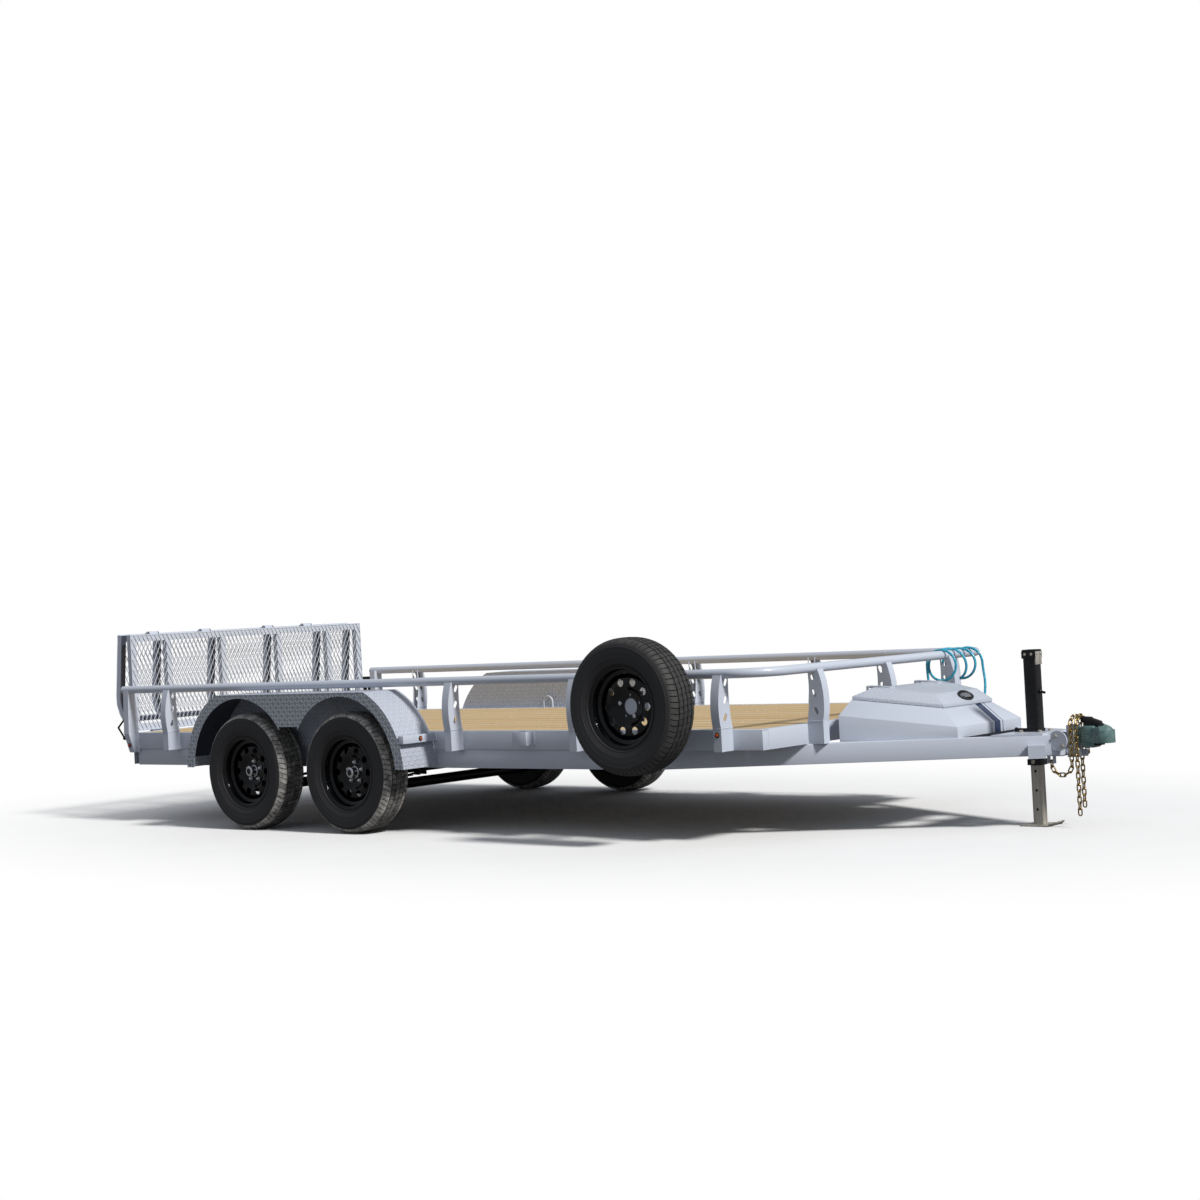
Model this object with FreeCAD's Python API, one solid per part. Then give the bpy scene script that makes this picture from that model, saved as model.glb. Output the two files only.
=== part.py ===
"""Tandem-axle utility trailer with a bi-fold ramp gate, in millimetres."""
import os
from math import asin, atan2, cos, degrees, pi, radians, sin, sqrt, tan

import FreeCAD
import Part

V = FreeCAD.Vector

# Deck and ground
DECK_REAR, DECK_FRONT = -1840.0, 3170.0
DECK_HALF = 1042.0
RAIL_WIDTH, RAIL_HEIGHT, RAIL_WALL = 51.0, 102.0, 4.0
BEAM_BOTTOM = 356.0
BEAM_HEIGHT, BEAM_WIDTH, BEAM_WALL = 102.0, 51.0, 6.0
BEAM_OUTER = 1035.0
BEND_X, BEND_RADIUS, TONGUE_ANGLE = 2464.0, 180.0, 27.5
BEAM_END = 4262.0
CROSS_WIDTH, CROSS_HEIGHT, CROSS_COUNT = 38.0, 64.0, 8
PLANK_COUNT, PLANK_GAP = 11, 3.0

# Posts and top rail
POST_X = (-1370.0, 1110.0, 2020.0, 2965.0)
CORNER_POST_X = -1790.0
FRONT_POST_Y = (-630.0, 0.0, 630.0)
POST_WIDTH, POST_WALL = 50.0, 3.0
POST_FOOT_DEPTH, POST_HEAD_DEPTH, POST_BOW = 94.0, 60.0, 20.0
POST_HOLE_WIDTH, POST_HOLE_HEIGHT, POST_HOLE_LEAN = 22.0, 40.0, 27.0
POST_HOLES = ((625.0, 55.0), (711.0, 47.0), (797.0, 38.0))
PIPE_Z, PIPE_OFFSET = 839.0, 44.0
PIPE_RADIUS, PIPE_WALL, PIPE_BEND = 24.0, 3.4, 200.0
PIPE_SEAM_X = 2534.0

# Wheels and axles
AXLE_HALF_SPACING = 438.0
TANDEM_X = -14.0
TYRE_RADIUS, TYRE_WIDTH = 344.0, 200.0
WHEEL_Y = 1192.0
BEAD_RADIUS, RIM_FLANGE_RADIUS, RIM_HALF_WIDTH = 190.0, 208.0, 76.0
RIM_WALL = 5.0
LUG_CIRCLE, LUG_COUNT = 114.3, 5
VENT_CIRCLE, VENT_COUNT, VENT_RADIUS = 250.0, 10, 20.0
SPINDLE_RADIUS, RUNNING_GAP = 19.0, 0.35
DRUM_RADIUS = 127.0
AXLE_DROP, AXLE_RADIUS, AXLE_WALL = 102.0, 30.0, 6.0
SPRING_WIDTH, LEAF_THICKNESS, LEAF_PITCH, LEAF_COUNT = 45.0, 7.0, 7.3, 4
SPRING_HALF, SPRING_RADIUS = 325.0, 1600.0
SPRING_Y = 1008.0

# Fenders
FENDER_OUTER, FENDER_SHEET = 1306.0, 3.0
FENDER_TOP, FENDER_FOOT = 800.0, 370.0
FENDER_RADIUS, ARCH_RADIUS = 500.0, 435.0
CUSP_Z = 610.0
LIGHT_BAR_Z, LIGHT_BAR_HEIGHT, LIGHT_BAR_DEPTH = 510.0, 44.0, 40.0

# Ramp gate: lower panel, folded flap, hinges and latches
GATE_BOTTOM, GATE_TOP = 572.0, 1184.0
GATE_HALF, GATE_RIB_Y = 1002.0, (245.0, 700.0)
GATE_TUBE, GATE_WALL = 40.0, 3.0
GATE_GAP, GATE_SETBACK = 55.0, 12.0
FLAP_TUBE, FLAP_LEAN = 38.0, 6.6
FLAP_CURVE_RADIUS, FLAP_CURVE_ANGLE, FLAP_CURVE_TOP = 190.0, 55.0, 785.0
MESH_SHEET = 3.0
HINGE_Z, HINGE_RADIUS, PIN_RADIUS = 557.0, 15.0, 8.0
HINGE_Y, HINGE_HALF, EAR_SHEET = (-820.0, -280.0, 280.0, 820.0), 34.0, 6.0
FOLD_Z, FOLD_Y = 1192.0, (-775.0, -345.0, 205.0, 555.0)
LATCH_SHEET, LATCH_ROD = 8.0, 6.0

# Toolbox
BOX_REAR, BOX_FRONT = 3279.0, 3826.0
BOX_REAR_HALF, BOX_FRONT_HALF = 540.0, 316.0
CREASE_Z, BOX_DROP = 590.0, 77.0
MOUTH_HALF, MOUTH_Z, MOUTH_SCALE = 415.0, 662.0, 0.775
CROWN_HALF, CROWN_Z, CROWN_SCALE = 330.0, 714.0, 0.535
LID_INSET, LID_RIM, LID_GAP = 70.0, 16.0, 1.0
BOX_SHEET = 3.0
LID_SETBACK = 4.0
LUG_Y, LUG_HALF, LUG_Z = (-230.0, 230.0), 20.0, 716.0
LUG_RADIUS, LUG_PIN, LUG_REACH = 7.0, 3.0, 60.0

# Coupler and jack
BALL_X, BALL_Z, BALL_RADIUS = 4452.0, 436.0, 29.7
CHANNEL_HALF, CHANNEL_DEPTH, CHANNEL_WALL = 38.0, 38.0, 7.0
JACK_X, JACK_HALF, JACK_WALL = 4082.0, 31.75, 4.0
JACK_TOP, JACK_BOTTOM = 865.0, 300.0
LEG_HALF, LEG_WALL, LEG_TOP = 25.0, 4.0, 575.0
LEG_HOLES, LEG_HOLE_Z, LEG_HOLE_PITCH, LEG_HOLE_RADIUS = 3, 80.0, 95.0, 7.0
FOOT_HALF, FOOT_SHEET = 75.0, 6.0
LINK_WIRE, LINK_WIDTH, LINK_INNER, LINK_PLAY = 3.5, 25.0, 30.0, 0.8
CHAIN_Z, CHAIN_BAR, CHAIN_PIN_Z = 320.0, 5.0, 360.0
CHAIN_TURN, CHAIN_BEND, CHAIN_CLIMB = 30.0, 6, (7, 5)
CHAIN_X, CHAIN_HANG = (4300.0, 4330.0), (13, 14)
CHANNEL_HOLES = (370.0, 420.0, 470.0)
PLATE_TOP = 466.0
GUSSET_Z, GUSSET_RADIUS, BRACKET_X = 427.0, 50.0, 4165.0
SWITCH_Y, SWITCH_RADIUS, SWITCH_LENGTH, SWITCH_GAP = -22.0, 9.0, 52.0, 7.0

# Small fittings
RING_X, RING_Y = -80.0, 1016.0
POCKET_X = 1570.0

# Cable in teal, wound round the top rail
CABLE_RADIUS, COIL_INNER, COIL_OUTER = 7.0, 80.0, 94.0
COIL_FAR_Y, COIL_NEAR_Y = (662.0, 880.0), (555.0, 597.0)
LEAD_POINTS = [(3188, 800, 500), (3258, 800, 500), (3318, 822, 558), (3322, 850, 660),
               (3301, 864, 752)]
TAIL_POINTS = [(3127, 566, 752), (3131, 568, 690), (3131, 568, 640)]

# Spare wheel
SPARE_X, SPARE_Y, SPARE_Z = 2585.0, -1325.0, 700.0
SPARE_BAR, SPARE_PLATE = 25.0, 75.0


# Plain solids
def box(x, y, z):
    return Part.makeBox(x[1] - x[0], y[1] - y[0], z[1] - z[0], V(x[0], y[0], z[0]))


def rod(start, end, radius):
    return Part.makeCylinder(radius, (end - start).Length, start, end - start)


def pipe(start, end, radius, wall):
    return rod(start, end, radius).cut(rod(start, end, radius - wall))


def slab(points, push):
    return Part.Face(Part.makePolygon(points + [points[0]])).extrude(push)


def box_tube(x, y, z, wall, along):
    inner = [list(x), list(y), list(z)]
    for axis in range(3):
        if axis != along:
            inner[axis] = [inner[axis][0] + wall, inner[axis][1] - wall]
    return box(x, y, z).cut(box(*inner))


def mirror(shapes):
    return [shape.mirror(V(0, 0, 0), V(0, 1, 0)) for shape in shapes]


def fuse(shapes):
    return shapes[0].multiFuse(shapes[1:]).removeSplitter()


def moved(shape, x=0.0, y=0.0, z=0.0):
    copy = shape.copy()
    copy.translate(V(x, y, z))
    return copy


# Chassis: bent channel beams, tube rails, crossmembers and planks
def beam_path(offset):
    angle = radians(TONGUE_ANGLE)
    radius = BEND_RADIUS - offset
    setback = radius * tan(angle / 2)
    corner = V(BEND_X - offset * tan(angle / 2), -BEAM_OUTER + offset, 0)
    centre = V(corner.x - setback, corner.y + radius, 0)
    turn = [centre + V(radius * sin(a), -radius * cos(a), 0)
            for a in (0.0, angle / 2, angle)]
    end = V(BEAM_END, turn[2].y + (BEAM_END - turn[2].x) * tan(angle), 0)
    return [V(DECK_REAR + RAIL_WIDTH, corner.y, 0)] + turn + [end]


def beam_layer(low, high, z0, z1):
    start, a, b, c, end = beam_path(low)
    start2, a2, b2, c2, end2 = beam_path(high)
    edges = [Part.makeLine(start, a), Part.Arc(a, b, c).toShape(),
             Part.makeLine(c, end), Part.makeLine(end, end2),
             Part.makeLine(end2, c2), Part.Arc(c2, b2, a2).toShape(),
             Part.makeLine(a2, start2), Part.makeLine(start2, start)]
    layer = Part.Face(Part.Wire(edges)).extrude(V(0, 0, z1 - z0))
    return moved(layer, z=z0)


def main_beam():
    top = BEAM_BOTTOM + BEAM_HEIGHT
    return fuse([beam_layer(0, BEAM_WALL, BEAM_BOTTOM, top),
                 beam_layer(0, BEAM_WIDTH, BEAM_BOTTOM, BEAM_BOTTOM + BEAM_WALL),
                 beam_layer(0, BEAM_WIDTH, top - BEAM_WALL, top)])


def chassis():
    rail_low = BEAM_BOTTOM + BEAM_HEIGHT
    rail_z = (rail_low, rail_low + RAIL_HEIGHT)
    inner = DECK_HALF - RAIL_WIDTH
    beam = main_beam()
    side = box_tube((DECK_REAR, DECK_FRONT), (-DECK_HALF, -inner), rail_z, RAIL_WALL, 0)
    ends = [box_tube((x, x + RAIL_WIDTH), (-inner, inner), rail_z, RAIL_WALL, 1)
            for x in (DECK_REAR, DECK_FRONT - RAIL_WIDTH)]
    step = (DECK_FRONT - DECK_REAR) / (CROSS_COUNT + 1)
    cross_z = (rail_low, rail_low + CROSS_HEIGHT)
    crosses = []
    for n in range(1, CROSS_COUNT + 1):
        x = DECK_REAR + n * step
        bar = box((x, x + CROSS_WIDTH), (-inner, inner), cross_z)
        gap = box((x + 4, x + CROSS_WIDTH), (-inner, inner), (cross_z[0] + 4, cross_z[1] - 4))
        crosses.append(bar.cut(gap))
    pitch = (2 * inner - PLANK_GAP) / PLANK_COUNT
    planks = [box((ends_x(0), ends_x(1)), (y, y + pitch - PLANK_GAP), (cross_z[1], rail_z[1]))
              for y in (-inner + PLANK_GAP + n * pitch for n in range(PLANK_COUNT))]
    return {"main_beams": [beam] + mirror([beam]), "deck_side_rails": [side] + mirror([side]),
            "deck_end_rails": ends, "crossmembers": crosses, "deck_planks": planks}


def ends_x(end):
    return (DECK_REAR + RAIL_WIDTH + PLANK_GAP, DECK_FRONT - RAIL_WIDTH - PLANK_GAP)[end]


# Pierced channel posts under the top rail, open towards the deck
def post_outline(inset):
    low = BEAM_BOTTOM + BEAM_HEIGHT
    knee = low + RAIL_HEIGHT + 12
    head = PIPE_Z - 6
    inner_head = PIPE_OFFSET - POST_HEAD_DEPTH / 2
    outer_head = PIPE_OFFSET + POST_HEAD_DEPTH / 2
    middle = (knee + head) / 2
    outer = [V(POST_FOOT_DEPTH - inset, 0, knee),
             V((POST_FOOT_DEPTH + outer_head) / 2 + POST_BOW - inset, 0, middle),
             V(outer_head - inset, 0, head)]
    inner = [V(inner_head + inset, 0, head),
             V(inner_head / 2 + POST_BOW / 2 + inset, 0, middle),
             V(inset, 0, knee)]
    foot = [V(inset, 0, low - inset), V(POST_FOOT_DEPTH - inset, 0, low - inset)]
    edges = [Part.makeLine(foot[1], outer[0]), Part.Arc(*outer).toShape(),
             Part.makeLine(outer[2], inner[0]), Part.Arc(*inner).toShape(),
             Part.makeLine(inner[2], foot[0]), Part.makeLine(foot[0], foot[1])]
    return Part.Face(Part.Wire(edges))


def post():
    half = POST_WIDTH / 2
    outer = moved(post_outline(0.0).extrude(V(0, POST_WIDTH, 0)), y=-half)
    cavity = moved(post_outline(POST_WALL).extrude(V(0, POST_WIDTH - 2 * POST_WALL, 0)),
                   y=POST_WALL - half)
    mouth = moved(cavity, x=-2 * POST_WALL)
    shell = outer.cut(fuse([cavity, mouth]))
    saddle = rod(V(PIPE_OFFSET, -half - 1, PIPE_Z), V(PIPE_OFFSET, half + 1, PIPE_Z), PIPE_RADIUS)
    shell = shell.cut(saddle)
    for z, x in POST_HOLES:
        hole = oblong(x, z, POST_HOLE_WIDTH, POST_HOLE_HEIGHT, half)
        hole.rotate(V(x, 0, z), V(0, 1, 0), -POST_HOLE_LEAN)
        shell = shell.cut(hole)
    return shell


def oblong(x, z, width, height, half):
    radius, run = width / 2, (height - width) / 2
    parts = [box((x - radius, x + radius), (-half - 1, half + 1), (z - run, z + run))]
    parts += [rod(V(x, -half - 1, z + s * run), V(x, half + 1, z + s * run), radius)
              for s in (-1, 1)]
    return fuse(parts)


def corner_post():
    low = BEAM_BOTTOM + BEAM_HEIGHT - 20
    deck = low + 20 + RAIL_HEIGHT
    half = POST_WIDTH / 2

    def outline(inset):
        return [V(inset, 0, low + inset), V(40 - inset, 0, low + inset),
                V(78 - inset, 0, deck), V(68 - inset, 0, PIPE_Z - inset),
                V(inset, 0, PIPE_Z - inset)]
    outer = moved(slab(outline(0.0), V(0, POST_WIDTH, 0)), y=-half)
    inner = moved(slab(outline(POST_WALL), V(0, POST_WIDTH - 2 * POST_WALL, 0)),
                  y=POST_WALL - half)
    saddle = rod(V(PIPE_OFFSET, -half - 1, PIPE_Z), V(PIPE_OFFSET, half + 1, PIPE_Z), PIPE_RADIUS)
    return outer.cut(inner).cut(saddle)


def placed_post(shape, at, turn):
    copy = shape.copy()
    copy.rotate(V(0, 0, 0), V(0, 0, 1), turn)
    copy.translate(at)
    return copy


def posts():
    one = post()
    right = [placed_post(one, V(x, -DECK_HALF, 0), -90) for x in POST_X]
    right.append(placed_post(corner_post(), V(CORNER_POST_X, -DECK_HALF, 0), -90))
    front = [placed_post(one, V(DECK_FRONT, y, 0), 0) for y in FRONT_POST_Y]
    return {"side_posts": right + mirror(right), "front_posts": front}


# Top rail: one pipe round three sides, welded at the seams
def top_rail():
    y, x = DECK_HALF + PIPE_OFFSET, DECK_FRONT + PIPE_OFFSET
    turn = PIPE_BEND * (1 - sqrt(0.5))
    points = [V(PIPE_SEAM_X, -y, PIPE_Z), V(x - PIPE_BEND, -y, PIPE_Z),
              V(x - turn, -y + turn, PIPE_Z), V(x, -y + PIPE_BEND, PIPE_Z),
              V(x, y - PIPE_BEND, PIPE_Z), V(x - turn, y - turn, PIPE_Z),
              V(x - PIPE_BEND, y, PIPE_Z), V(PIPE_SEAM_X, y, PIPE_Z)]
    path = Part.Wire([Part.makeLine(points[0], points[1]), Part.Arc(*points[1:4]).toShape(),
                      Part.makeLine(points[3], points[4]), Part.Arc(*points[4:7]).toShape(),
                      Part.makeLine(points[6], points[7])])
    front = swept(path, PIPE_RADIUS).cut(swept(path, PIPE_RADIUS - PIPE_WALL))
    ends = V(DECK_REAR, -y, PIPE_Z), V(PIPE_SEAM_X, -y, PIPE_Z)
    cap = rod(ends[0], ends[0] + V(4, 0, 0), PIPE_RADIUS)
    side = fuse([pipe(*ends, PIPE_RADIUS, PIPE_WALL), cap])
    return {"top_rail_front": [front], "top_rail_sides": [side] + mirror([side])}


def swept(path, radius):
    start = path.OrderedVertexes[0].Point
    edge = path.OrderedEdges[0]
    tangent = edge.tangentAt(edge.FirstParameter)
    profile = Part.Wire(Part.makeCircle(radius, start, tangent))
    return path.makePipeShell([profile], True, False)


# Fenders: bent sheet, inner wall, gull-wing skirt and lamp bar
def fender_outline(inset, foot):
    radius, top = FENDER_RADIUS - inset, FENDER_TOP - inset
    high, low = asin((top - TYRE_RADIUS) / radius), asin((foot - TYRE_RADIUS) / radius)
    right = [V(AXLE_HALF_SPACING + radius * cos(a), 0, TYRE_RADIUS + radius * sin(a))
             for a in (high, (high + low) / 2, low)]
    return [V(-p.x, 0, p.z) for p in right], right


def fender_face(inset, foot):
    left, right = fender_outline(inset, foot)
    return Part.Face(Part.Wire([
        Part.Arc(left[2], left[1], left[0]).toShape(), Part.makeLine(left[0], right[0]),
        Part.Arc(*right).toShape(), Part.makeLine(right[2], left[2])]))


def fender():
    inner, outer, sheet = DECK_HALF, FENDER_OUTER, FENDER_SHEET
    deck_low = BEAM_BOTTOM + BEAM_HEIGHT
    band = fender_face(0, FENDER_FOOT).cut(fender_face(sheet, FENDER_FOOT))
    top = moved(band.extrude(V(0, outer - sheet - inner, 0)), y=-outer + sheet)
    wall = moved(fender_face(sheet, deck_low).extrude(V(0, sheet, 0)), y=-inner - sheet)
    return fuse([top, wall])


def skirt():
    low = FENDER_FOOT
    plate = fender_face(0, low).extrude(V(0, FENDER_SHEET, 0))
    for x in (-AXLE_HALF_SPACING, AXLE_HALF_SPACING):
        plate = plate.cut(rod(V(x, -1, TYRE_RADIUS), V(x, 9, TYRE_RADIUS), ARCH_RADIUS))
    plate = plate.cut(box((-80, 80), (-1, 9), (low - 9, CUSP_Z)))
    solid = max(plate.Solids, key=lambda s: s.Volume)
    return moved(solid, y=-FENDER_OUTER)


def lamp_bar():
    x = AXLE_HALF_SPACING + sqrt(FENDER_RADIUS ** 2 - (LIGHT_BAR_Z - TYRE_RADIUS) ** 2)
    bar = box((x, x + LIGHT_BAR_DEPTH), (-FENDER_OUTER, -DECK_HALF - 4),
              (LIGHT_BAR_Z, LIGHT_BAR_Z + LIGHT_BAR_HEIGHT))
    hollow = box((x - 9, x + LIGHT_BAR_DEPTH - 3), (-FENDER_OUTER + 3, -DECK_HALF - 7),
                 (LIGHT_BAR_Z + 3, LIGHT_BAR_Z + LIGHT_BAR_HEIGHT - 3))
    return bar.cut(hollow)


def fenders():
    sheets, skirts, bars = [fender()], [skirt()], [lamp_bar()]
    nodes = {"fenders": sheets, "fender_skirts": skirts, "fender_lamp_bars": bars}
    return {name: tandem(shapes + mirror(shapes)) for name, shapes in nodes.items()}


def tandem(shapes):
    return [moved(shape, TANDEM_X) for shape in shapes]


# Axles, springs and hangers
def axle():
    low = TYRE_RADIUS - AXLE_DROP
    end = WHEEL_Y - 135.0
    beam = pipe(V(0, -end, low), V(0, end, low), AXLE_RADIUS, AXLE_WALL)
    parts = [beam]
    for s in (-1, 1):
        arm = [end, end + 26]
        y = sorted(s * v for v in arm)
        parts.append(box((-30, 30), y, (low - 30, TYRE_RADIUS + 30)))
        plate = [s * (end + 26), s * (end + 32)]
        parts.append(rod(V(0, plate[0], TYRE_RADIUS), V(0, plate[1], TYRE_RADIUS), DRUM_RADIUS))
        parts.append(rod(V(0, plate[1], TYRE_RADIUS), V(0, s * (WHEEL_Y + 20), TYRE_RADIUS),
                         SPINDLE_RADIUS))
    return fuse(parts)


def leaf(number):
    outer = SPRING_RADIUS + number * LEAF_PITCH
    inner = outer - LEAF_THICKNESS
    half = SPRING_HALF * (1 - number * 0.24)
    seat = TYRE_RADIUS - AXLE_DROP + AXLE_RADIUS
    centre = seat + (LEAF_COUNT - 1) * LEAF_PITCH + SPRING_RADIUS

    def point(radius, x):
        return V(x, 0, centre - sqrt(radius ** 2 - x ** 2))
    low = [point(outer, x) for x in (-half, 0, half)]
    high = [point(inner, x) for x in (half, 0, -half)]
    edges = [Part.Arc(*low).toShape(), Part.makeLine(low[2], high[0]),
             Part.Arc(*high).toShape(), Part.makeLine(high[2], low[0])]
    strip = Part.Face(Part.Wire(edges)).extrude(V(0, SPRING_WIDTH, 0))
    if number == 0:
        eyes = [rod(V(s * half, 0, low[0].z + 10), V(s * half, SPRING_WIDTH, low[0].z + 10), 15)
                for s in (-1, 1)]
        strip = fuse([strip] + eyes)
        for s in (-1, 1):
            strip = strip.cut(rod(V(s * half, -1, low[0].z + 10),
                                  V(s * half, SPRING_WIDTH + 1, low[0].z + 10), 7))
    return moved(strip, y=-SPRING_WIDTH / 2)


def eye_z():
    seat = TYRE_RADIUS - AXLE_DROP + AXLE_RADIUS
    centre = seat + (LEAF_COUNT - 1) * LEAF_PITCH + SPRING_RADIUS
    return centre - sqrt(SPRING_RADIUS ** 2 - SPRING_HALF ** 2) + 10


def hanger(x, low):
    half = SPRING_WIDTH / 2
    cheeks = [box((x - 24, x + 24), (s * half, s * (half + 5))[::s], (low, BEAM_BOTTOM))
              for s in (-1, 1)]
    pin = rod(V(x, -half, eye_z()), V(x, half, eye_z()), 6.7)
    return cheeks + [pin]


def suspension():
    leaves = [leaf(n) for n in range(LEAF_COUNT)]
    springs, hangers, links = [], [], []
    inner = AXLE_HALF_SPACING - SPRING_HALF
    outer = AXLE_HALF_SPACING + SPRING_HALF
    half = SPRING_WIDTH / 2
    for side in (-1, 1):
        y = side * SPRING_Y
        for x in (-AXLE_HALF_SPACING, AXLE_HALF_SPACING):
            springs += [moved(one, x, y) for one in leaves]
        for x, low in ((-outer, eye_z() - 22), (outer, eye_z() - 22)):
            hangers += [moved(one, y=y) for one in hanger(x, low)]
        bar = [V(-inner - 24, 0, eye_z() - 20), V(inner + 24, 0, eye_z() - 20),
               V(inner + 24, 0, eye_z() + 12), V(-inner - 24, 0, eye_z() + 12)]
        for s in (-1, 1):
            plate = moved(slab(bar, V(0, 5, 0)), y=y + s * (half + 2.5) - 2.5)
            links.append(plate)
        links += [rod(V(x, y - half, eye_z()), V(x, y + half, eye_z()), 6.7)
                  for x in (-inner, inner)]
        hangers.append(box((-20, 20), (y - half, y + half), (eye_z() - 15, BEAM_BOTTOM)))
    axles = [moved(axle(), x) for x in (-AXLE_HALF_SPACING, AXLE_HALF_SPACING)]
    return {"axles": tandem(axles), "leaf_springs": tandem(springs),
            "spring_hangers": tandem(hangers), "equalizers": tandem(links)}


# Wheels, drawn about the Y axis with the outer side at minus Y
def spun(points):
    face = Part.Face(Part.makePolygon(points + [points[0]]))
    return face.revolve(V(0, 0, 0), V(0, 1, 0), 360)


def tyre():
    half, out = TYRE_WIDTH / 2, TYRE_RADIUS
    bead, lip = BEAD_RADIUS + 0.4, RIM_FLANGE_RADIUS + 2
    outer = [(75.5, bead), (75.5, lip), (half - 10, lip + 18), (half, out - 78), (half, out - 52),
             (half - 6, out - 30), (half - 16, out - 12), (half - 34, out - 2), (half - 60, out)]
    inner = [(half - 34, out - 17), (half - 19, out - 34), (half - 12, out - 66),
             (half - 22, lip + 20), (62, lip - 2), (62, bead)]
    side = outer + [(-y, r) for y, r in outer[::-1]]
    return spun([V(0, y, r) for y, r in side + [(-y, r) for y, r in inner] + inner[::-1]])


def rim():
    flange, half, wall = RIM_FLANGE_RADIUS, RIM_HALF_WIDTH, RIM_WALL
    seat, well = BEAD_RADIUS, BEAD_RADIUS - 18
    outer = [(-half - 4, flange), (-half, flange), (-half, seat), (-half + 34, seat),
             (-half + 44, well), (half - 44, well), (half - 34, seat), (half, seat),
             (half, flange), (half + 4, flange)]
    inner = [(half + 4, seat - wall), (half - 36, seat - wall), (half - 46, well - wall),
             (-half + 46, well - wall), (-half + 36, seat - wall), (-half - 4, seat - wall)]
    barrel = spun([V(0, y, r) for y, r in outer + inner])
    disc = [(-6, 42), (-6, 78), (-30, 108), (-30, 140), (-14, well - wall),
            (-8, well - wall), (-24, 138), (-24, 110), (0, 80), (0, 42)]
    plate = spun([V(0, y, r) for y, r in disc])
    for n in range(VENT_COUNT):
        a = 2 * pi * n / VENT_COUNT
        x, z = VENT_CIRCLE / 2 * cos(a), VENT_CIRCLE / 2 * sin(a)
        plate = plate.cut(rod(V(x, -60, z), V(x, 20, z), VENT_RADIUS))
    for n in range(LUG_COUNT):
        a = 2 * pi * n / LUG_COUNT + pi / 2
        x, z = LUG_CIRCLE / 2 * cos(a), LUG_CIRCLE / 2 * sin(a)
        plate = plate.cut(rod(V(x, -20, z), V(x, 20, z), 7.5))
    return fuse([barrel, plate])


def hub():
    gap = SPINDLE_RADIUS + RUNNING_GAP
    back = WHEEL_Y - 135.0 + 32 + 2 - WHEEL_Y
    shell = [(-58, 0), (-58, 20), (-53, 24), (-48, 25), (-48, 34), (-6, 38), (0, 40), (0, 76),
             (10, DRUM_RADIUS), (-back, DRUM_RADIUS), (-back, DRUM_RADIUS - 10),
             (20, DRUM_RADIUS - 10), (12, 60), (12, 38), (-back, 38), (-back, gap),
             (-30, gap), (-30, 0)]
    body = spun([V(0, y, r) for y, r in shell])
    studs = []
    for n in range(LUG_COUNT):
        a = 2 * pi * n / LUG_COUNT + pi / 2
        x, z = LUG_CIRCLE / 2 * cos(a), LUG_CIRCLE / 2 * sin(a)
        studs.append(rod(V(x, -22, z), V(x, 4, z), 6.0))
        studs.append(lug_nut(x, z))
    return fuse([body] + studs)


def lug_nut(x, z):
    across = 11.0
    ring = [V(x + across * cos(a), -22, z + across * sin(a))
            for a in (pi / 3 * n for n in range(6))]
    return slab(ring, V(0, 15.5, 0))


def wheels():
    parts = {}
    shapes = {"tyre": [tyre()], "wheel": [rim(), hub()]}
    for place, x in (("front", AXLE_HALF_SPACING), ("rear", -AXLE_HALF_SPACING)):
        for side, sign in (("right", 1), ("left", -1)):
            for name, group in shapes.items():
                turned = group if sign == 1 else mirror(group)
                placed = [moved(one, x, -sign * WHEEL_Y, TYRE_RADIUS) for one in turned]
                parts[f"{name}_{place}_{side}"] = tandem(placed)
    return parts


def spare():
    low = BEAM_BOTTOM + BEAM_HEIGHT
    rail, bar, plate = -DECK_HALF, SPARE_BAR, SPARE_PLATE
    width = (SPARE_X - bar, SPARE_X + bar)
    upright = box_tube(width, (rail - 2 * bar, rail), (low, PIPE_Z - PIPE_RADIUS), 3.0, 2)
    arm = box_tube(width, (SPARE_Y + 8, rail - 2 * bar), (SPARE_Z - bar, SPARE_Z + bar), 3.0, 1)
    face = box((SPARE_X - plate, SPARE_X + plate), (SPARE_Y, SPARE_Y + 8),
               (SPARE_Z - plate, SPARE_Z + plate))
    carrier = [fuse([upright, arm, face])]
    for n in (1, 3):
        a = 2 * pi * n / LUG_COUNT + pi / 2
        x, z = LUG_CIRCLE / 2 * cos(a), LUG_CIRCLE / 2 * sin(a)
        stud = rod(V(x, -24, z), V(x, 0, z), 6.0)
        carrier.append(moved(fuse([stud, lug_nut(x, z)]), SPARE_X, SPARE_Y, SPARE_Z))
    at = SPARE_X, SPARE_Y, SPARE_Z
    return {"spare_tyre": [moved(tyre(), *at)], "spare_rim": [moved(rim(), *at)],
            "spare_carrier": carrier}


# Bi-fold ramp gate
def rib_places(tube):
    edge = GATE_HALF - tube / 2
    return [-edge, edge] + [side * y for y in GATE_RIB_Y for side in (-1, 1)]


def frame_bars(x, low, high, tube, wall):
    half = GATE_HALF
    solid, hollow = [], []
    for z in (low, high - tube):
        solid.append(box((x, x + tube), (-half, half), (z, z + tube)))
        hollow.append(box((x + wall, x + tube - wall), (-half + wall, half - wall),
                          (z + wall, z + tube - wall)))
    for y in rib_places(tube):
        solid.append(box((x, x + tube), (y - tube / 2, y + tube / 2), (low, high)))
        hollow.append(box((x + wall, x + tube - wall), (y - tube / 2 + wall, y + tube / 2 - wall),
                          (low + wall, high - wall)))
    return fuse(solid), fuse(hollow)


def gate_planes():
    front = DECK_REAR - GATE_SETBACK
    back = front - GATE_TUBE
    return front, back, back - GATE_GAP / 2, back - GATE_GAP


def barrel(x, z, radius, bore, y, half):
    return rod(V(x, y - half, z), V(x, y + half, z), radius).cut(
        rod(V(x, y - half - 1, z), V(x, y + half + 1, z), bore))


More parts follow.
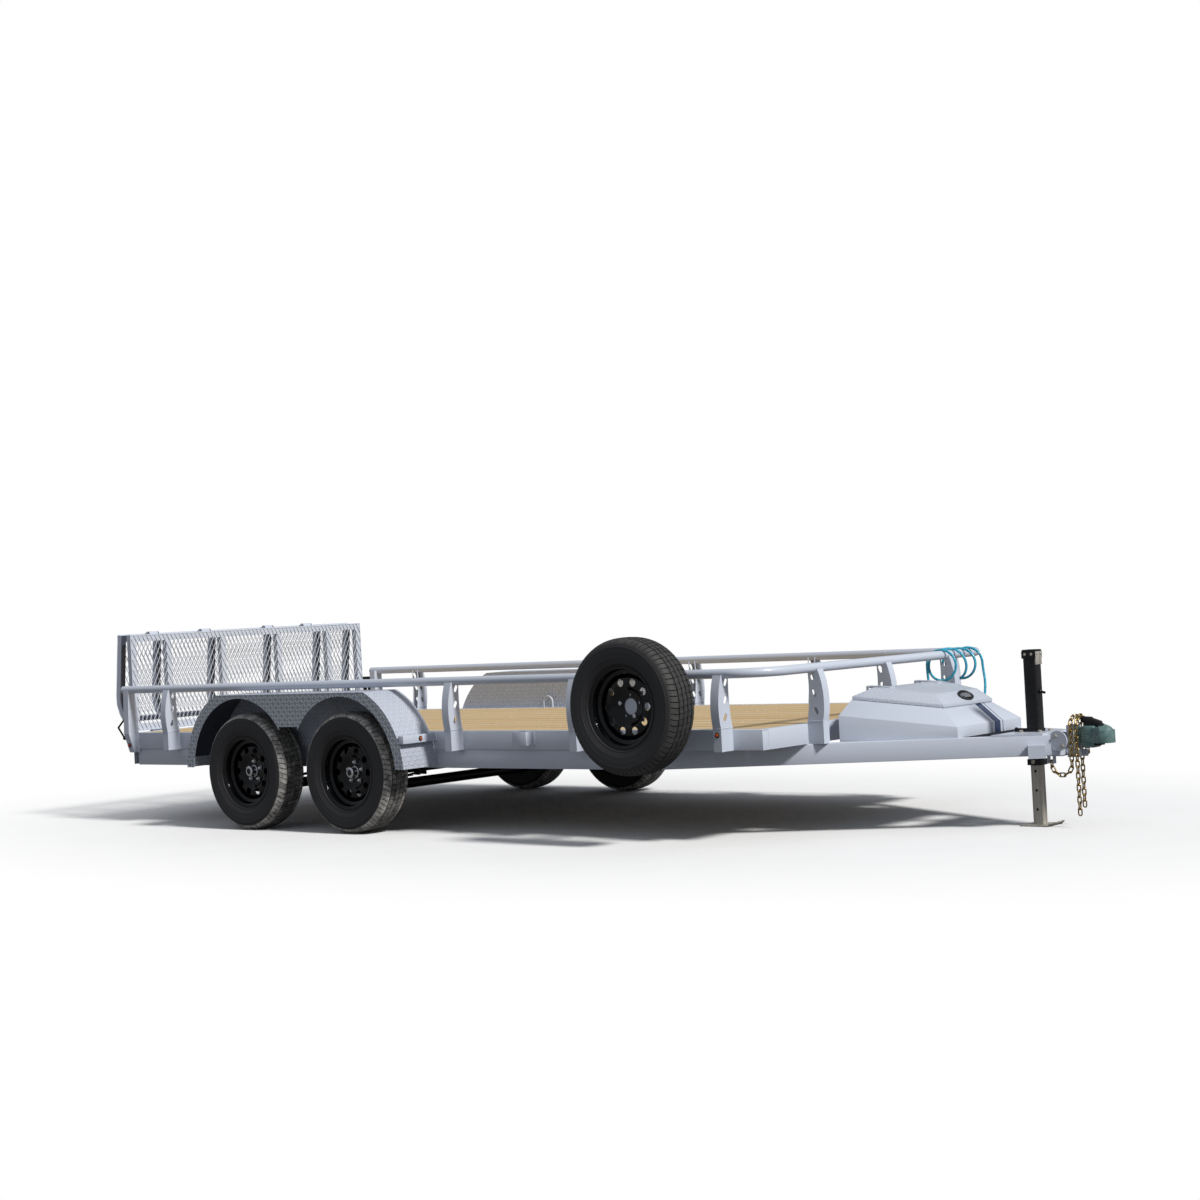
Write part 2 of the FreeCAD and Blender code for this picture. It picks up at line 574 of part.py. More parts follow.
def lower_panel():
    front, back, fold_x, _ = gate_planes()
    solid, hollow = frame_bars(back, GATE_BOTTOM, GATE_TOP, GATE_TUBE, GATE_WALL)
    frame = solid.cut(hollow)
    axis_x = (front + back) / 2
    bore = PIN_RADIUS + RUNNING_GAP
    for y in HINGE_Y:
        frame = frame.fuse(barrel(axis_x, HINGE_Z, HINGE_RADIUS, bore, y, HINGE_HALF))
    for y in FOLD_Y:
        arm = box((fold_x, back), (y - HINGE_HALF, y + HINGE_HALF), (FOLD_Z - 20, FOLD_Z - 8))
        knuckle = rod(V(fold_x, y - HINGE_HALF, FOLD_Z), V(fold_x, y + HINGE_HALF, FOLD_Z), 14)
        hole = rod(V(fold_x, y - 90, FOLD_Z), V(fold_x, y + 90, FOLD_Z), bore)
        frame = frame.fuse(arm.fuse(knuckle).cut(hole))
    mesh = box((front, front + MESH_SHEET), (-GATE_HALF, GATE_HALF), (GATE_BOTTOM, GATE_TOP))
    return frame.removeSplitter(), mesh


def bent_bar(x, depth, y, width, radius):
    angle = radians(FLAP_CURVE_ANGLE)
    top, low = GATE_TOP, FLAP_CURVE_TOP
    centre_x = x + radius

    def at(r, a):
        return V(centre_x - r * cos(a), y - width / 2, low - r * sin(a))
    near, far = radius - depth, radius
    edges = [Part.makeLine(V(x + depth, y - width / 2, top), at(near, 0)),
             Part.Arc(at(near, 0), at(near, angle / 2), at(near, angle)).toShape(),
             Part.makeLine(at(near, angle), at(far, angle)),
             Part.Arc(at(far, angle), at(far, angle / 2), at(far, 0)).toShape(),
             Part.makeLine(at(far, 0), V(x, y - width / 2, top)),
             Part.makeLine(V(x, y - width / 2, top), V(x + depth, y - width / 2, top))]
    return Part.Face(Part.Wire(edges)).extrude(V(0, width, 0))


def flap():
    _, _, fold_x, flap_front = gate_planes()
    tube, wall = FLAP_TUBE, GATE_WALL
    back = flap_front - tube
    angle = radians(FLAP_CURVE_ANGLE)
    tip_x = back + FLAP_CURVE_RADIUS * (1 - cos(angle)) + tube / 2
    tip_z = FLAP_CURVE_TOP - (FLAP_CURVE_RADIUS - tube / 2) * sin(angle)
    solid = [box((back, flap_front), (-GATE_HALF, GATE_HALF), (GATE_TOP - tube, GATE_TOP)),
             rod(V(tip_x, -GATE_HALF, tip_z), V(tip_x, GATE_HALF, tip_z), tube / 2 - 1)]
    hollow = [box((back + wall, flap_front - wall), (-GATE_HALF + wall, GATE_HALF - wall),
                  (GATE_TOP - tube + wall, GATE_TOP - wall))]
    for y in rib_places(tube):
        solid.append(bent_bar(back, tube, y, tube, FLAP_CURVE_RADIUS))
        inside = (y - tube / 2 + wall, y + tube / 2 - wall)
        hollow.append(box((back + wall, flap_front - wall), inside,
                          (FLAP_CURVE_TOP, GATE_TOP - wall)))
    frame = fuse(solid).cut(fuse(hollow))
    for y in FOLD_Y:
        for side in (-1, 1):
            low = y + side * (HINGE_HALF + 2) - (EAR_SHEET if side < 0 else 0)
            ear = box((flap_front, fold_x), (low, low + EAR_SHEET), (FOLD_Z - 22, FOLD_Z))
            tip = rod(V(fold_x, low, FOLD_Z), V(fold_x, low + EAR_SHEET, FOLD_Z), 14)
            frame = frame.fuse(ear.fuse(tip))
        frame = frame.fuse(rod(V(fold_x, y - HINGE_HALF - 2, FOLD_Z),
                               V(fold_x, y + HINGE_HALF + 2, FOLD_Z), PIN_RADIUS))
    mesh = bent_bar(back - MESH_SHEET, MESH_SHEET, 0, 2 * GATE_HALF,
                    FLAP_CURVE_RADIUS + MESH_SHEET)
    return [leaned(frame.removeSplitter()), leaned(mesh)]


def leaned(shape):
    copy = shape.copy()
    copy.rotate(V(gate_planes()[2], 0, FOLD_Z), V(0, 1, 0), FLAP_LEAN)
    return copy


def hinge_ears():
    front, back, _, _ = gate_planes()
    axis_x = (front + back) / 2
    ears = []
    for y in HINGE_Y:
        parts = []
        for side in (-1, 1):
            low = y + side * (HINGE_HALF + 1) - (EAR_SHEET if side < 0 else 0)
            plate = box((axis_x, DECK_REAR), (low, low + EAR_SHEET), (HINGE_Z - 40, HINGE_Z + 2))
            tip = rod(V(axis_x, low, HINGE_Z), V(axis_x, low + EAR_SHEET, HINGE_Z), 13)
            parts.append(plate.fuse(tip))
        parts.append(rod(V(axis_x, y - HINGE_HALF - 2, HINGE_Z),
                         V(axis_x, y + HINGE_HALF + 2, HINGE_Z), PIN_RADIUS))
        ears.append(fuse(parts))
    return ears


def latches():
    x = CORNER_POST_X - POST_WIDTH / 2
    y = -DECK_HALF - 4
    plate = slab([V(x, y, 600), V(x, y, 800), V(x - 80, y, 800), V(x - 80, y, 640)],
                 V(0, -LATCH_SHEET, 0))
    slot = oblong(x - 40, 735.0, 14.0, 70.0, 2000.0)
    plate = plate.cut(slot)
    start, bend, end = V(x - 58, y - 12, 660), V(x - 124, y - 24, 596), V(x - 62, y - 24, 528)
    bar = [rod(start, bend, LATCH_ROD), rod(bend, end, LATCH_ROD),
           Part.makeSphere(LATCH_ROD, bend), Part.makeSphere(12.0, end)]
    one = fuse([plate] + bar)
    return [one] + mirror([one])


def gate():
    frame, mesh = lower_panel()
    flap_frame, flap_mesh = flap()
    return {"gate_lower_frame": [frame], "gate_lower_mesh": [mesh],
            "gate_upper_frame": [flap_frame], "gate_upper_mesh": [flap_mesh],
            "gate_hinge_ears": hinge_ears(), "gate_latches": latches()}


# Toolbox on the tongue: folded walls, sloping shoulders and a hipped lid
def box_ring(rear, half, z, scale, drop):
    front = rear + (BOX_FRONT - BOX_REAR) * scale
    front_half = half - (BOX_REAR_HALF - BOX_FRONT_HALF) * scale
    return [V(rear, -half, z), V(front, -front_half, z - drop * scale),
            V(front, front_half, z - drop * scale), V(rear, half, z)]


def hull(rings):
    faces = [Part.Face(Part.makePolygon(ring + [ring[0]])) for ring in (rings[0], rings[-1])]
    for low, high in zip(rings, rings[1:]):
        for n in range(4):
            m = (n + 1) % 4
            for corners in ((low[n], low[m], high[m]), (low[n], high[m], high[n])):
                faces.append(Part.Face(Part.makePolygon(list(corners) + [corners[0]])))
    solid = Part.Solid(Part.Shell(faces))
    solid.fixTolerance(1e-4)
    return solid.removeSplitter()


def inset_ring(rear, half, z, scale, drop):
    smaller = scale - 2 * BOX_SHEET / (BOX_FRONT - BOX_REAR)
    return box_ring(rear + BOX_SHEET, half - 1.5 * BOX_SHEET, z, smaller, drop)


def toolbox():
    low, seam = BEAM_BOTTOM + BEAM_HEIGHT, CREASE_Z - BOX_SHEET / 2
    body = hull([box_ring(BOX_REAR, BOX_REAR_HALF, low, 1.0, 0.0),
                 box_ring(BOX_REAR, BOX_REAR_HALF, CREASE_Z, 1.0, BOX_DROP),
                 box_ring(BOX_REAR, MOUTH_HALF, MOUTH_Z, MOUTH_SCALE, BOX_DROP)])
    cavity = hull([inset_ring(BOX_REAR, BOX_REAR_HALF, low + BOX_SHEET, 1.0, 0.0),
                   inset_ring(BOX_REAR, BOX_REAR_HALF, seam, 1.0, BOX_DROP),
                   inset_ring(BOX_REAR, MOUTH_HALF, MOUTH_Z + 1, MOUTH_SCALE, BOX_DROP)])
    rear, crown_rear = BOX_REAR + LID_SETBACK, BOX_REAR + LID_INSET
    rim, shoulder = MOUTH_Z + LID_GAP, MOUTH_Z + LID_GAP + LID_RIM
    rings = [(rear, MOUTH_HALF, rim, MOUTH_SCALE), (rear, MOUTH_HALF, shoulder, MOUTH_SCALE),
             (crown_rear, CROWN_HALF, CROWN_Z, CROWN_SCALE)]
    drops = (-1, -BOX_SHEET / 2, -BOX_SHEET)
    lid = hull([box_ring(*ring, BOX_DROP) for ring in rings])
    inside = hull([inset_ring(x, half, z + drop, scale, BOX_DROP)
                   for (x, half, z, scale), drop in zip(rings, drops)])
    arms = [hinge_arm(y) for y in LUG_Y]
    hip = [box_ring(*ring, BOX_DROP)[1] for ring in rings[1:]]
    return {"toolbox_body": [body.cut(cavity)],
            "toolbox_hinges": [hinge_lug(y) for y in LUG_Y],
            "toolbox_lid": [fuse([lid.cut(inside)] + arms)],
            "lid_latch": [lid_latch(*hip)]}


def hinge_lug(y):
    x = BOX_REAR - LUG_RADIUS
    parts = [rod(V(x, y - LUG_HALF - 2, LUG_Z), V(x, y + LUG_HALF + 2, LUG_Z), LUG_PIN)]
    for side in (-1, 1):
        low = y + side * (LUG_HALF + 1) - (BOX_SHEET if side < 0 else 0)
        span = (low, low + BOX_SHEET)
        parts.append(box((BOX_REAR - 2 * LUG_RADIUS, BOX_REAR), span, (MOUTH_Z - 60, LUG_Z)))
        parts.append(rod(V(x, low, LUG_Z), V(x, low + BOX_SHEET, LUG_Z), LUG_RADIUS))
    return fuse(parts)


def hinge_arm(y):
    x, low = BOX_REAR - LUG_RADIUS, y - LUG_HALF
    slope = BOX_DROP / (BOX_FRONT - BOX_REAR)
    crown_x = BOX_REAR + LID_INSET
    end_x = crown_x + LUG_REACH
    end_z = CROWN_Z - LUG_REACH * slope
    outline = [V(x, low, LUG_Z - 4), V(crown_x, low, CROWN_Z - 1), V(end_x, low, end_z - 1),
               V(end_x, low, end_z + 5), V(crown_x, low, CROWN_Z + 5), V(x, low, LUG_Z + 6)]
    knuckle = rod(V(x, low, LUG_Z), V(x, low + 2 * LUG_HALF, LUG_Z), LUG_RADIUS)
    hole = rod(V(x, low - 9, LUG_Z), V(x, low + 2 * LUG_HALF + 9, LUG_Z), LUG_PIN + RUNNING_GAP)
    return slab(outline, V(0, 2 * LUG_HALF, 0)).fuse(knuckle).cut(hole)


def lid_latch(low, high):
    tray = box((-34, 34), (-62, 62), (0, 10)).cut(box((-26, 26), (-50, 50), (4, 11)))
    paddle = box((-20, 22), (-44, 44), (4, 9))
    whole = tray.fuse(paddle)
    whole.rotate(V(0, 0, 0), V(0, 1, 0), degrees(atan2(high.z - low.z, low.x - high.x)))
    whole.translate(V((low.x + high.x) / 2, 0, (low.z + high.z) / 2))
    return whole


# Coupler, jack and chains
def coupler():
    top = BALL_Z + 62
    start = BEAM_END + 10
    low = BALL_Z - 26
    outline = slab([V(start, -29, low), V(start + 60, -29, low), V(BALL_X, -46, low),
                    V(BALL_X, 46, low), V(start + 60, 29, low), V(start, 29, low)],
                   V(0, 0, top - BALL_Z + 14))
    dome = rod(V(BALL_X, 0, BALL_Z - 26), V(BALL_X, 0, BALL_Z + 36), 52)
    dome = fuse([dome, Part.makeSphere(52, V(BALL_X, 0, BALL_Z + 10))])
    keep = box((start, BALL_X + 60), (-60, 60), (BALL_Z - 26, top + 6))
    body = fuse([outline, dome]).common(keep)
    socket = rod(V(BALL_X, 0, BALL_Z - 27), V(BALL_X, 0, BALL_Z), BALL_RADIUS)
    body = body.cut(fuse([socket, Part.makeSphere(BALL_RADIUS, V(BALL_X, 0, BALL_Z))]))
    hollow = box((start - 1, BALL_X - 60), (-22, 22), (BALL_Z - 27, top - 18))
    return body.cut(hollow)


def coupler_group():
    low, high = BEAM_BOTTOM - 14, BEAM_BOTTOM + BEAM_HEIGHT + 40
    back = BEAM_END + 8
    front = back + CHANNEL_DEPTH
    plate = box((BEAM_END, back), (-110, 110), (BEAM_BOTTOM, BEAM_BOTTOM + BEAM_HEIGHT))
    inner = CHANNEL_HALF - CHANNEL_WALL
    walls = [(-CHANNEL_HALF, -inner), (inner, CHANNEL_HALF)]
    web = box((back, back + 2), (-inner, inner), (low, high))
    cheeks = [box((back, front), span, (low, high)) for span in walls]
    tabs = [box((front - 8, front + 34), span, (low, low + 34)) for span in walls]
    pin_x, pin_y = CHAIN_X[1], chain_span() / 2
    pin = [rod(V(pin_x, 34, CHAIN_PIN_Z), V(pin_x, pin_y + 9, CHAIN_PIN_Z), CHAIN_BAR),
           rod(V(pin_x, pin_y + 6, CHAIN_PIN_Z), V(pin_x, pin_y + 9, CHAIN_PIN_Z), 2 * CHAIN_BAR)]
    channel = fuse([plate, web] + tabs + pin + cheeks)
    for z in CHANNEL_HOLES:
        channel = channel.cut(rod(V(front - 14, -50, z), V(front - 14, 50, z), 8))
    channel = channel.cut(rod(V(front + 18, -50, low + 18), V(front + 18, 0, low + 18), 8))
    top = BALL_Z + 50
    lever = slab([V(BALL_X - 96, -11, top), V(BALL_X - 36, -11, top), V(BALL_X - 16, -11, top + 14),
                  V(BALL_X - 50, -11, top + 30), V(BALL_X - 90, -11, top + 48),
                  V(BALL_X - 99, -11, top + 38)], V(0, 22, 0))
    return {"coupler": [coupler()], "coupler_channel": [channel], "coupler_latch": [lever]}


def on_beam(shape, x, z):
    copy = shape.copy()
    copy.rotate(V(0, 0, 0), V(0, 0, 1), TONGUE_ANGLE)
    copy.translate(V(x, -BEAM_OUTER + (x - BEND_X) * tan(radians(TONGUE_ANGLE)), z))
    return copy


def tongue_fittings():
    x = BEAM_END
    gusset = rod(V(x, -118, GUSSET_Z), V(x, -110, GUSSET_Z), GUSSET_RADIUS)
    gusset = gusset.cut(on_beam(box((-120, 2), (0, 60), (-60, 60)), x, GUSSET_Z))
    bracket = on_beam(box((-42, 42), (-34, 0), (-10, 54)), BRACKET_X, BEAM_BOTTOM)
    bottom = box((x - 112, x), (-84, 84), (BEAM_BOTTOM - 6, BEAM_BOTTOM))
    eye_x, eye_y = CHAIN_X[0] - chain_span(), -chain_span() / 2
    ears = [box((ear, ear + 6), (eye_y - 12, eye_y + 12), (CHAIN_Z - 8, BEAM_BOTTOM - 6))
            for ear in (eye_x - 18, eye_x + 12)]
    bar = rod(V(eye_x - 18, eye_y, CHAIN_Z), V(eye_x + 18, eye_y, CHAIN_Z), CHAIN_BAR)
    return [fuse([bottom, bar] + ears), gusset, bracket]


def link():
    side, run = LINK_WIDTH / 2 - LINK_WIRE, LINK_INNER / 2 + LINK_WIRE - LINK_WIDTH / 2 + LINK_WIRE
    path = Part.Wire([
        Part.makeLine(V(0, -side, -run), V(0, -side, run)),
        Part.Arc(V(0, -side, run), V(0, 0, run + side), V(0, side, run)).toShape(),
        Part.makeLine(V(0, side, run), V(0, side, -run)),
        Part.Arc(V(0, side, -run), V(0, 0, -run - side), V(0, -side, -run)).toShape()])
    profile = Part.Wire(Part.makeCircle(LINK_WIRE, V(0, -side, -run), V(0, 0, 1)))
    return path.makePipeShell([profile], True, False)


def chain_span():
    turns = [radians(CHAIN_TURN * n) for n in range(1, CHAIN_BEND)]
    return (LINK_INNER - LINK_PLAY) * sum(sin(turn) for turn in turns)


def chain(start, along, across, strides):
    links, at, pitch = [], start, LINK_INNER - LINK_PLAY
    for axis, turn, count in strides:
        bend = FreeCAD.Rotation(axis, turn)
        for _ in range(count):
            along = bend.multVec(along)
            across = along.cross(bend.multVec(across))
            one = link()
            turned = FreeCAD.Rotation(across.cross(along), across, along, "ZYX")
            one.Placement = FreeCAD.Placement(at + along * (pitch / 2), turned)
            links.append(one)
            at = at + along * pitch
    return links


def safety_chains():
    side, pitch = chain_span() / 2, LINK_INNER - LINK_PLAY
    rise = pitch / 2 + CHAIN_BAR + LINK_PLAY - LINK_INNER / 2
    over, under = V(1, 0, 0), V(0, 1, 0)
    eye = V(CHAIN_X[0] - chain_span(), -side, CHAIN_Z + rise)
    pin = V(CHAIN_X[1], side, CHAIN_PIN_Z - rise)
    looped = chain(eye, V(0, 0, -1), V(1, 0, 0),
                   [(under, 0, 1), (under, -CHAIN_TURN, CHAIN_BEND),
                    (under, 0, CHAIN_CLIMB[0] - 1), (over, -CHAIN_TURN, CHAIN_BEND),
                    (over, 0, CHAIN_HANG[0])])
    crossed = chain(pin, V(0, 0, 1), V(0, 1, 0),
                    [(over, 0, CHAIN_CLIMB[1]), (over, CHAIN_TURN, CHAIN_BEND),
                     (over, 0, CHAIN_HANG[1])])
    return looped + crossed


# Lamps, rings, the stake pocket and the breakaway switch
def small_fittings():
    deck = BEAM_BOTTOM + BEAM_HEIGHT + RAIL_HEIGHT
    side = DECK_HALF + POST_FOOT_DEPTH
    lamp_z = LIGHT_BAR_Z + LIGHT_BAR_HEIGHT / 2
    lamp_x = AXLE_HALF_SPACING + sqrt(FENDER_RADIUS ** 2 - (LIGHT_BAR_Z - TYRE_RADIUS) ** 2)
    lamp_x += LIGHT_BAR_DEPTH + TANDEM_X
    amber = [rod(V(POST_X[-1], -side, deck - 20), V(POST_X[-1], -side - 10, deck - 20), 10),
             rod(V(lamp_x, -1175, lamp_z), V(lamp_x + 9, -1175, lamp_z), 10)]
    rear = box((DECK_REAR - 20, DECK_REAR), (-980, -880), (deck - 76, deck - 26))
    red = [rear.makeFillet(9.0, [e for e in rear.Edges if abs(e.tangentAt(0).x) > 0.9])]
    leg = [rod(V(RING_X + s * 38, -RING_Y, deck), V(RING_X + s * 38, -RING_Y, deck + 36), 6)
           for s in (-1, 1)]
    bend = [V(RING_X - 38, -RING_Y, deck + 36), V(RING_X, -RING_Y, deck + 74),
            V(RING_X + 38, -RING_Y, deck + 36)]
    path = Part.Wire([Part.Arc(*bend).toShape()])
    hoop = path.makePipeShell([Part.Wire(Part.makeCircle(6, bend[0], V(0, 0, 1)))], True, False)
    rings = [fuse(leg + [hoop])]
    pocket = box_tube((POCKET_X, POCKET_X + 100), (-DECK_HALF - 72, -DECK_HALF), (deck - 75, deck),
                      4.0, 2)
    near = JACK_X - JACK_HALF - SWITCH_GAP
    high = PLATE_TOP + SWITCH_RADIUS
    barrel_end = V(near - SWITCH_LENGTH, SWITCH_Y, high)
    switch = [rod(barrel_end, V(near, SWITCH_Y, high), SWITCH_RADIUS),
              rod(barrel_end + V(-8, 0, 0), barrel_end, SWITCH_RADIUS + 4).cut(
                  box((0, 9e3), (-9e3, 9e3), (0, PLATE_TOP)))]
    return {"amber_markers": amber + mirror(amber), "red_markers": red + mirror(red),
            "tie_down_rings": rings + mirror(rings), "stake_pocket": [pocket],
            "breakaway_switch": [fuse(switch)], "tongue_fittings": tongue_fittings(),
            "safety_chains": safety_chains()}


# Teal lead: gland, tube, turns round the top rail and hanging plug
def cord_tube(points, radius):
    edges, start = [], points[0]
    for a, b, c in zip(points, points[1:], points[2:]):
        u, v = (b - a).normalize(), (c - b).normalize()
        turn = u.getAngle(v)
        short = min((b - a).Length, (c - b).Length)
        bend = 0.45 * short / tan(turn / 2)
        print("cord radius", round(bend, 1), "turn", round(degrees(turn), 1))
        first, last = b - u * (0.45 * short), b + v * (0.45 * short)
        centre = first + (v - u * v.dot(u)).normalize() * bend
        middle = centre + (b - centre).normalize() * bend
        edges += [Part.LineSegment(start, first).toShape(), Part.Arc(first, middle, last).toShape()]
        start = last
    edges.append(Part.LineSegment(start, points[-1]).toShape())
    path = Part.Wire(edges)
    profile = Part.Wire(Part.makeCircle(radius, points[0], points[1] - points[0]))
    tube = path.makePipeShell([profile], True, False)
    print("cord volume ratio", round(tube.Volume / (path.Length * pi * radius ** 2), 4))
    return tube


def cable():
    x, z = DECK_FRONT + PIPE_OFFSET, PIPE_Z + PIPE_RADIUS + 0.3 - COIL_INNER
    coils = [pipe(V(x, low, z), V(x, high, z), COIL_OUTER, COIL_OUTER - COIL_INNER)
             for low, high in (COIL_FAR_Y, COIL_NEAR_Y)]
    top = z + (COIL_INNER + COIL_OUTER) / 2
    bridge = rod(V(x, COIL_NEAR_Y[1], top), V(x, COIL_FAR_Y[0], top), CABLE_RADIUS)
    gland_at = LEAD_POINTS[0]
    gland = rod(V(DECK_FRONT, gland_at[1], gland_at[2]), V(*gland_at), 13)
    end = V(*TAIL_POINTS[-1])
    plug = rod(end, end - V(0, 0, 70), 19).fuse(rod(end, end - V(0, 0, 26), 22))
    lead, tail = [cord_tube([V(*p) for p in points], CABLE_RADIUS)
                  for points in (LEAD_POINTS, TAIL_POINTS)]
    return {"cable_gland": [gland], "cable_lead": [lead], "cable_coil_far": [coils[0]],
            "cable_bridge": [bridge], "cable_coil_near": [coils[1]], "cable_tail": [tail],
            "cable_plug": [plug]}


def jack():
    half, x = JACK_HALF, JACK_X
    tube = box_tube((x - half, x + half), (-half, half), (JACK_BOTTOM, JACK_TOP), JACK_WALL, 2)
    cap = box((x - half - 4, x + half + 4), (-half - 4, half + 4), (JACK_TOP, JACK_TOP + 8))
    top = BEAM_BOTTOM + BEAM_HEIGHT
    slope = tan(radians(TONGUE_ANGLE))

    def reach(px):
        return BEAM_OUTER - (px - BEND_X) * slope
    plate = slab([V(x - 110, -reach(x - 110), top), V(x + 110, -reach(x + 110), top),
                  V(x + 110, reach(x + 110), top), V(x - 110, reach(x - 110), top)], V(0, 0, 8))
    plate = plate.cut(box((x - half, x + half), (-half, half), (top - 1, top + 9)))
    collar = box_tube((x - half - 5, x + half + 5), (-half - 5, half + 5),
                      (JACK_BOTTOM, JACK_BOTTOM + 30), 5.0, 2)
    leg_half = LEG_HALF
    leg = box_tube((x - leg_half, x + leg_half), (-leg_half, leg_half), (FOOT_SHEET, LEG_TOP),
                   LEG_WALL, 2)
    for n in range(LEG_HOLES):
        z = LEG_HOLE_Z + n * LEG_HOLE_PITCH
        leg = leg.cut(rod(V(x, -leg_half - 1, z), V(x, leg_half + 1, z), LEG_HOLE_RADIUS))
    foot = FOOT_HALF
    lip = [V(x + foot, -foot, 0), V(x + foot + 16, -foot, 14), V(x + foot + 16, -foot, 20),
           V(x + foot, -foot, FOOT_SHEET)]
    base = [box((x - foot, x + foot), (-foot, foot), (0, FOOT_SHEET)), slab(lip, V(0, 2 * foot, 0))]
    return {"jack_tube": [fuse([tube, collar, cap])], "jack_plate": [plate],
            "jack_leg": [fuse([leg] + base)]}


# All nodes, moved to the common origin
def model():
    nodes = {}
    for group in (chassis, posts, top_rail, fenders, suspension, wheels, spare, gate,
                  toolbox, coupler_group, jack, small_fittings, cable):
        nodes.update(group())
    return nodes


def origin(nodes):
    shapes = [shape for group in nodes.values() for shape in group]
    bounds = [shape.optimalBoundingBox(False, False) for shape in shapes]
    x = (min(b.XMin for b in bounds) + max(b.XMax for b in bounds)) / 2
    y = (min(b.YMin for b in bounds) + max(b.YMax for b in bounds)) / 2
    return round(x, 3), round(y, 3)


def main():
    os.makedirs("parts", exist_ok=True)
    nodes = model()
    x, y = origin(nodes)
    print("origin", x, y)
    for name, shapes in nodes.items():
        placed = [moved(shape, -x, -y) for shape in shapes]
        solids = [solid for shape in placed for solid in shape.Solids]
        whole = solids[0] if len(solids) == 1 else Part.makeCompound(solids)
        whole.exportStep(f"parts/{name}.step")


main()
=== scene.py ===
"""Looks of the tandem utility trailer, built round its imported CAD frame, in metres."""

import contextlib
import enum
import logging
import math
from collections.abc import Callable, Iterable, Iterator, Sequence
from dataclasses import dataclass

import bmesh
import bpy
from mathutils import Matrix, Vector

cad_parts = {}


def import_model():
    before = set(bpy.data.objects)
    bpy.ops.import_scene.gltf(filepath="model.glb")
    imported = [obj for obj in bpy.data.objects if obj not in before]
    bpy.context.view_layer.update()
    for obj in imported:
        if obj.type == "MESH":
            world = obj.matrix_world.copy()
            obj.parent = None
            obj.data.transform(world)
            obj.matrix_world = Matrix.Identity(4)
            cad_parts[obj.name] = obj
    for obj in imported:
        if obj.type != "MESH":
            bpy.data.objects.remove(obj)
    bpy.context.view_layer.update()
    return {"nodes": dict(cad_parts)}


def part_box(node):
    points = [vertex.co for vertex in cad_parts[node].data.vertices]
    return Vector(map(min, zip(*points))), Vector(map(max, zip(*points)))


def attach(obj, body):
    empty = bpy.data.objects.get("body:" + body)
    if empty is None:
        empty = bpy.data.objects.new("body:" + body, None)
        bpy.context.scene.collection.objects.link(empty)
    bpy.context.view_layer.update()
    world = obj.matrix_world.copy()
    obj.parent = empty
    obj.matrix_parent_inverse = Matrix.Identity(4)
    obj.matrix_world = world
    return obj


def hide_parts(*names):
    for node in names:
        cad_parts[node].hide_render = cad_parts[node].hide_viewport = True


LOG = logging.getLogger("trailer")
Colour = tuple[float, float, float, float]
Socket = bpy.types.NodeSocket
Profile = list[tuple[float, float]]
AHEAD, LEFT, UP = Vector((1, 0, 0)), Vector((0, 1, 0)), Vector((0, 0, 1))


def shade(red: float, green: float, blue: float) -> Colour:
    """Turns a screen colour into the linear one that a shader takes.

    Args:
        red: Red, from 0 to 255.
        green: Green, from 0 to 255.
        blue: Blue, from 0 to 255.

    Returns:
        The linear colour with full alpha.
    """
    def channel(value: float) -> float:
        """Returns one channel made linear."""
        part = value / 255
        return part / 12.92 if part <= 0.04045 else ((part + 0.055) / 1.055) ** 2.4
    return channel(red), channel(green), channel(blue), 1.0


def dimmed(colour: Colour, share: float) -> Colour:
    """Returns a colour with only a share of its light."""
    return colour[0] * share, colour[1] * share, colour[2] * share, 1.0


def around(radius: float, angle: float, y: float = 0.0) -> Vector:
    """Returns a point of a circle about the Y axis, in radians from X."""
    return Vector((radius * math.cos(angle), y, radius * math.sin(angle)))


def shown(name: str, data: bpy.types.ID) -> bpy.types.Object:
    """Makes an object of a mesh, curve, lamp or camera, and puts it in the scene.

    Args:
        name: The object's name.
        data: What it shows.

    Returns:
        The object.
    """
    made = bpy.data.objects.new(name, data)
    bpy.context.scene.collection.objects.link(made)
    return made


@dataclass(frozen=True)
class Datum:
    """The place of the drawing's zero in the row frame."""

    x: float
    y: float

    @classmethod
    def found(cls, deck_rear: float) -> "Datum":
        """Finds the datum from the deck's side rails and the drawing's rear end."""
        low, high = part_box("deck_side_rails")
        return cls(low.x - deck_rear, (low.y + high.y) / 2)

    def at(self, x: float, y: float, z: float) -> Vector:
        """Returns a drawing point in the row frame."""
        return Vector((x + self.x, y + self.y, z))


